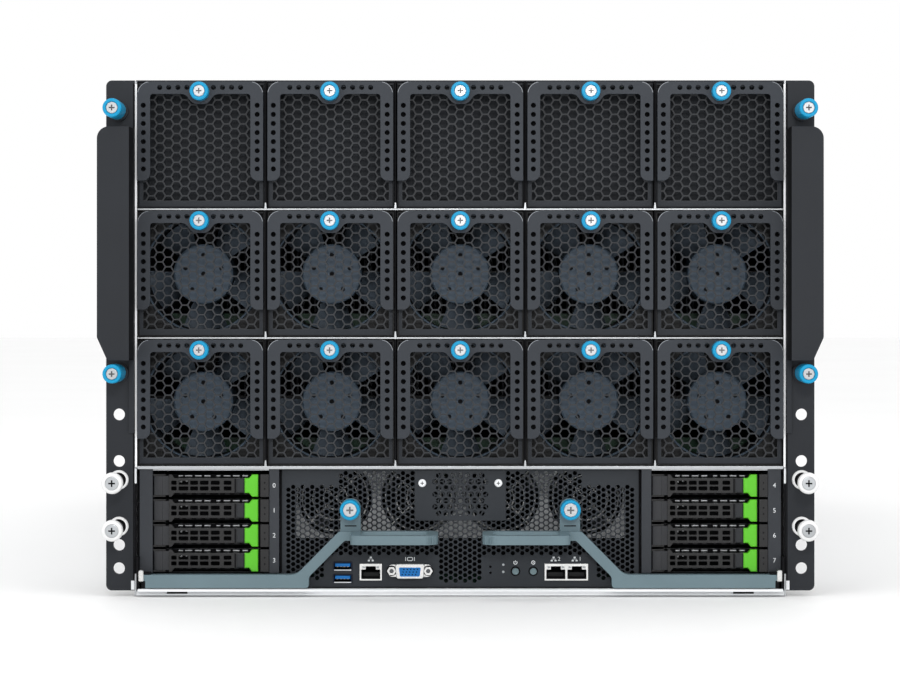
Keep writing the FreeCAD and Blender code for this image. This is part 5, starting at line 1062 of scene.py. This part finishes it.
# Power supplies: vented face, inlet with three pins, latch and lamp
supply_low, supply_high = span("power_supplies")
SUPPLY_PITCH = 73.6
SUPPLY_TALL = 40.95
supply_rise = (supply_high[2] - supply_low[2]) - SUPPLY_TALL
MID = SUPPLY_TALL / 2
INLET_X = (4.4, 30.6)
INLET_HALF = 9.2
shape = Shape()
inlet = rectangle(INLET_X[0], MID - INLET_HALF, INLET_X[1], MID + INLET_HALF, 1.0, 2)
handle = rectangle(-30.6, MID - 3.0, -3.4, MID + 3.0)
vents = []
for column in range(-12, 13):
    for row in range(13):
        x = column * 2.8
        z = 3.4 + 3.2 * (row + 0.5 * (column % 2)) - 1.0
        beside_handle = x < -0.5 and abs(z - MID) > 5.0
        beside_inlet = x > 0.5 and abs(z - MID) > INLET_HALF + 2.0 and not (x > 18 and z > MID)
        if abs(x) < 33.8 and 2.6 < z < SUPPLY_TALL - 2.6 and (beside_handle or beside_inlet):
            vents.append(ring(x, z, 1.25, 6))
shape.sheet(rectangle(-35.6, 0.4, 35.6, SUPPLY_TALL - 0.4, 1.0, 2), vents + [inlet, handle], 0.85, 0.1, 0)
# Deep black sheet behind the vents and the handle's opening: painted shade
shape.slab((-35.2, 0.02, 0.8), (3.9, 0.06, SUPPLY_TALL - 0.8), 1)
shape.sheet(inlet, [rectangle(8.0, MID - 6.3, 27.0, MID + 6.3, 2.0, 3)], 1.2, -3.0, 2)
shape.slab((7.5, -3.4, MID - 7.0), (27.5, -3.1, MID + 7.0), 1)
for x, z in ((11.8, -2.2), (17.5, 2.4), (23.2, -2.2)):
    shape.slab((x - 0.9, -3.1, MID + z - 2.0), (x + 0.9, 0.4, MID + z + 2.0), 3, 0.2)
shape.slab((20.5, 0.8, SUPPLY_TALL - 7.4), (33.0, 3.2, SUPPLY_TALL - 2.6), 4, 0.6)
shape.lathe([(1.1, 0.8), (1.0, 1.3), (0.5, 1.5)], (1.0, 0, MID), 5, 16)
supply_face = shape.mesh("supply_face", [SUPPLY, DARK, CHIP, BRIGHT, LATCH, LENS])
for row in range(2):
    for k in range(PSU_COLUMNS):
        put(f"supply_face_{row}_{k + 1}", supply_face, "chassis",
            ((k - (PSU_COLUMNS - 1) / 2) * SUPPLY_PITCH, rear_y, supply_low[2] + row * supply_rise))

# Parts on the boards: connectors, capacitors, chips and small heat sinks
BOARD_TOP = board_low[2] + 8.4
FAN_PITCH = 61.0
SOCKET_X = 100
shape = Shape()
for k in range(TRAY_FANS):
    x = (k - (TRAY_FANS - 1) / 2) * FAN_PITCH
    shape.slab((x - 7, -207, BOARD_TOP), (x + 7, -199, BOARD_TOP + 9), 0, 0.4)
for sign in SIGNS:
    x = sign * SOCKET_X
    shape.slab((x - 42, -140, BOARD_TOP), (x + 42, -128, BOARD_TOP + 15), 1, 0.5)
    for y in (24, 58):
        shape.slab((x - 46, y, BOARD_TOP), (x + 46, y + 9, BOARD_TOP + 13), 0, 0.5)
    for k in range(9):
        shape.lathe([(3.6, 0), (3.6, 9.5), (3.0, 10.2)], (x + 10 * (k - 4), -165, BOARD_TOP), 2, 20, axis=2)
    shape.slab((sign * 60 - 17, 80, BOARD_TOP), (sign * 60 + 17, 112, BOARD_TOP + 2.6), 0, 0.3)
shape.slab((-20, -90, BOARD_TOP), (20, -50, BOARD_TOP + 7), 1, 0.5)
shape.piece("board_parts", [CHIP, SINK, BRIGHT], "tray", "board_green")
gpu_low, gpu_high = span("gpu_baseboard")
gpu_top = gpu_high[2]
shape = Shape()
for k in range(4):
    x = (k - 1.5) * 104.0
    shape.slab((x - 38, 66, gpu_top), (x + 38, 84, gpu_top + 18), 0, 0.6)
    for y in (gpu_low[1] + 3, gpu_high[1] - 15):
        for offset in (-26, 0, 26):
            shape.slab((x + offset - 11, y, gpu_top), (x + offset + 11, y + 12, gpu_top + 14), 0, 0.5)
shape.piece("baseboard_parts", [CHIP], "chassis", "board_green")

# Stage, light and camera; from here on lengths are in metres

floor_mesh = bpy.data.meshes.new("floor")
REACH = 12.0
floor_mesh.from_pydata([(-REACH, -REACH, 0), (REACH, -REACH, 0), (REACH, REACH, 0), (-REACH, REACH, 0)], [],
                       [(0, 1, 2, 3)])
floor_mesh.materials.append(FLOOR)
floor = link("floor", floor_mesh)
floor.location.z = -0.0005

world = bpy.data.worlds.new("studio")
world.use_nodes = True
world.node_tree.nodes["Background"].inputs["Color"].default_value = (1, 1, 1, 1)
world.node_tree.nodes["Background"].inputs["Strength"].default_value = 1.0
bpy.context.scene.world = world
bpy.context.scene.view_settings.view_transform = "Standard"


def soft_light(name, place, aim, size, watts):
    lamp = bpy.data.lights.new(name, "AREA")
    lamp.shape = "RECTANGLE"
    lamp.size, lamp.size_y = size
    lamp.energy = watts
    item = link(name, lamp)
    item.location = place
    item.rotation_euler = (Vector(aim) - Vector(place)).to_track_quat("-Z", "Y").to_euler()


soft_light("key", (-1.6, -2.2, 2.0), (0, -0.4, 0.2), (1.6, 1.2), 9.5)
soft_light("fill", (1.9, -2.0, 1.4), (0, -0.4, 0.2), (1.6, 1.6), 5.5)
soft_light("top", (0, -1.3, 2.4), (0, -0.8, 0), (2.0, 0.9), 10)
soft_light("front", (0.1, -2.6, 0.78), (0, -0.42, 0.2), (0.25, 0.25), 9)

CAMERA_DISTANCE = 1.7
CAMERA_HEIGHT = 0.200
camera_data = bpy.data.cameras.new("camera")
camera_data.sensor_width = 36.0
camera_data.lens = 99.8
camera_data.shift_x = -0.01144
camera_data.shift_y = -0.0396
camera = link("camera", camera_data)
camera.location = (0, front_y * MM - CAMERA_DISTANCE, CAMERA_HEIGHT)
camera.rotation_euler = (math.pi / 2, 0, 0)
bpy.context.scene.camera = camera
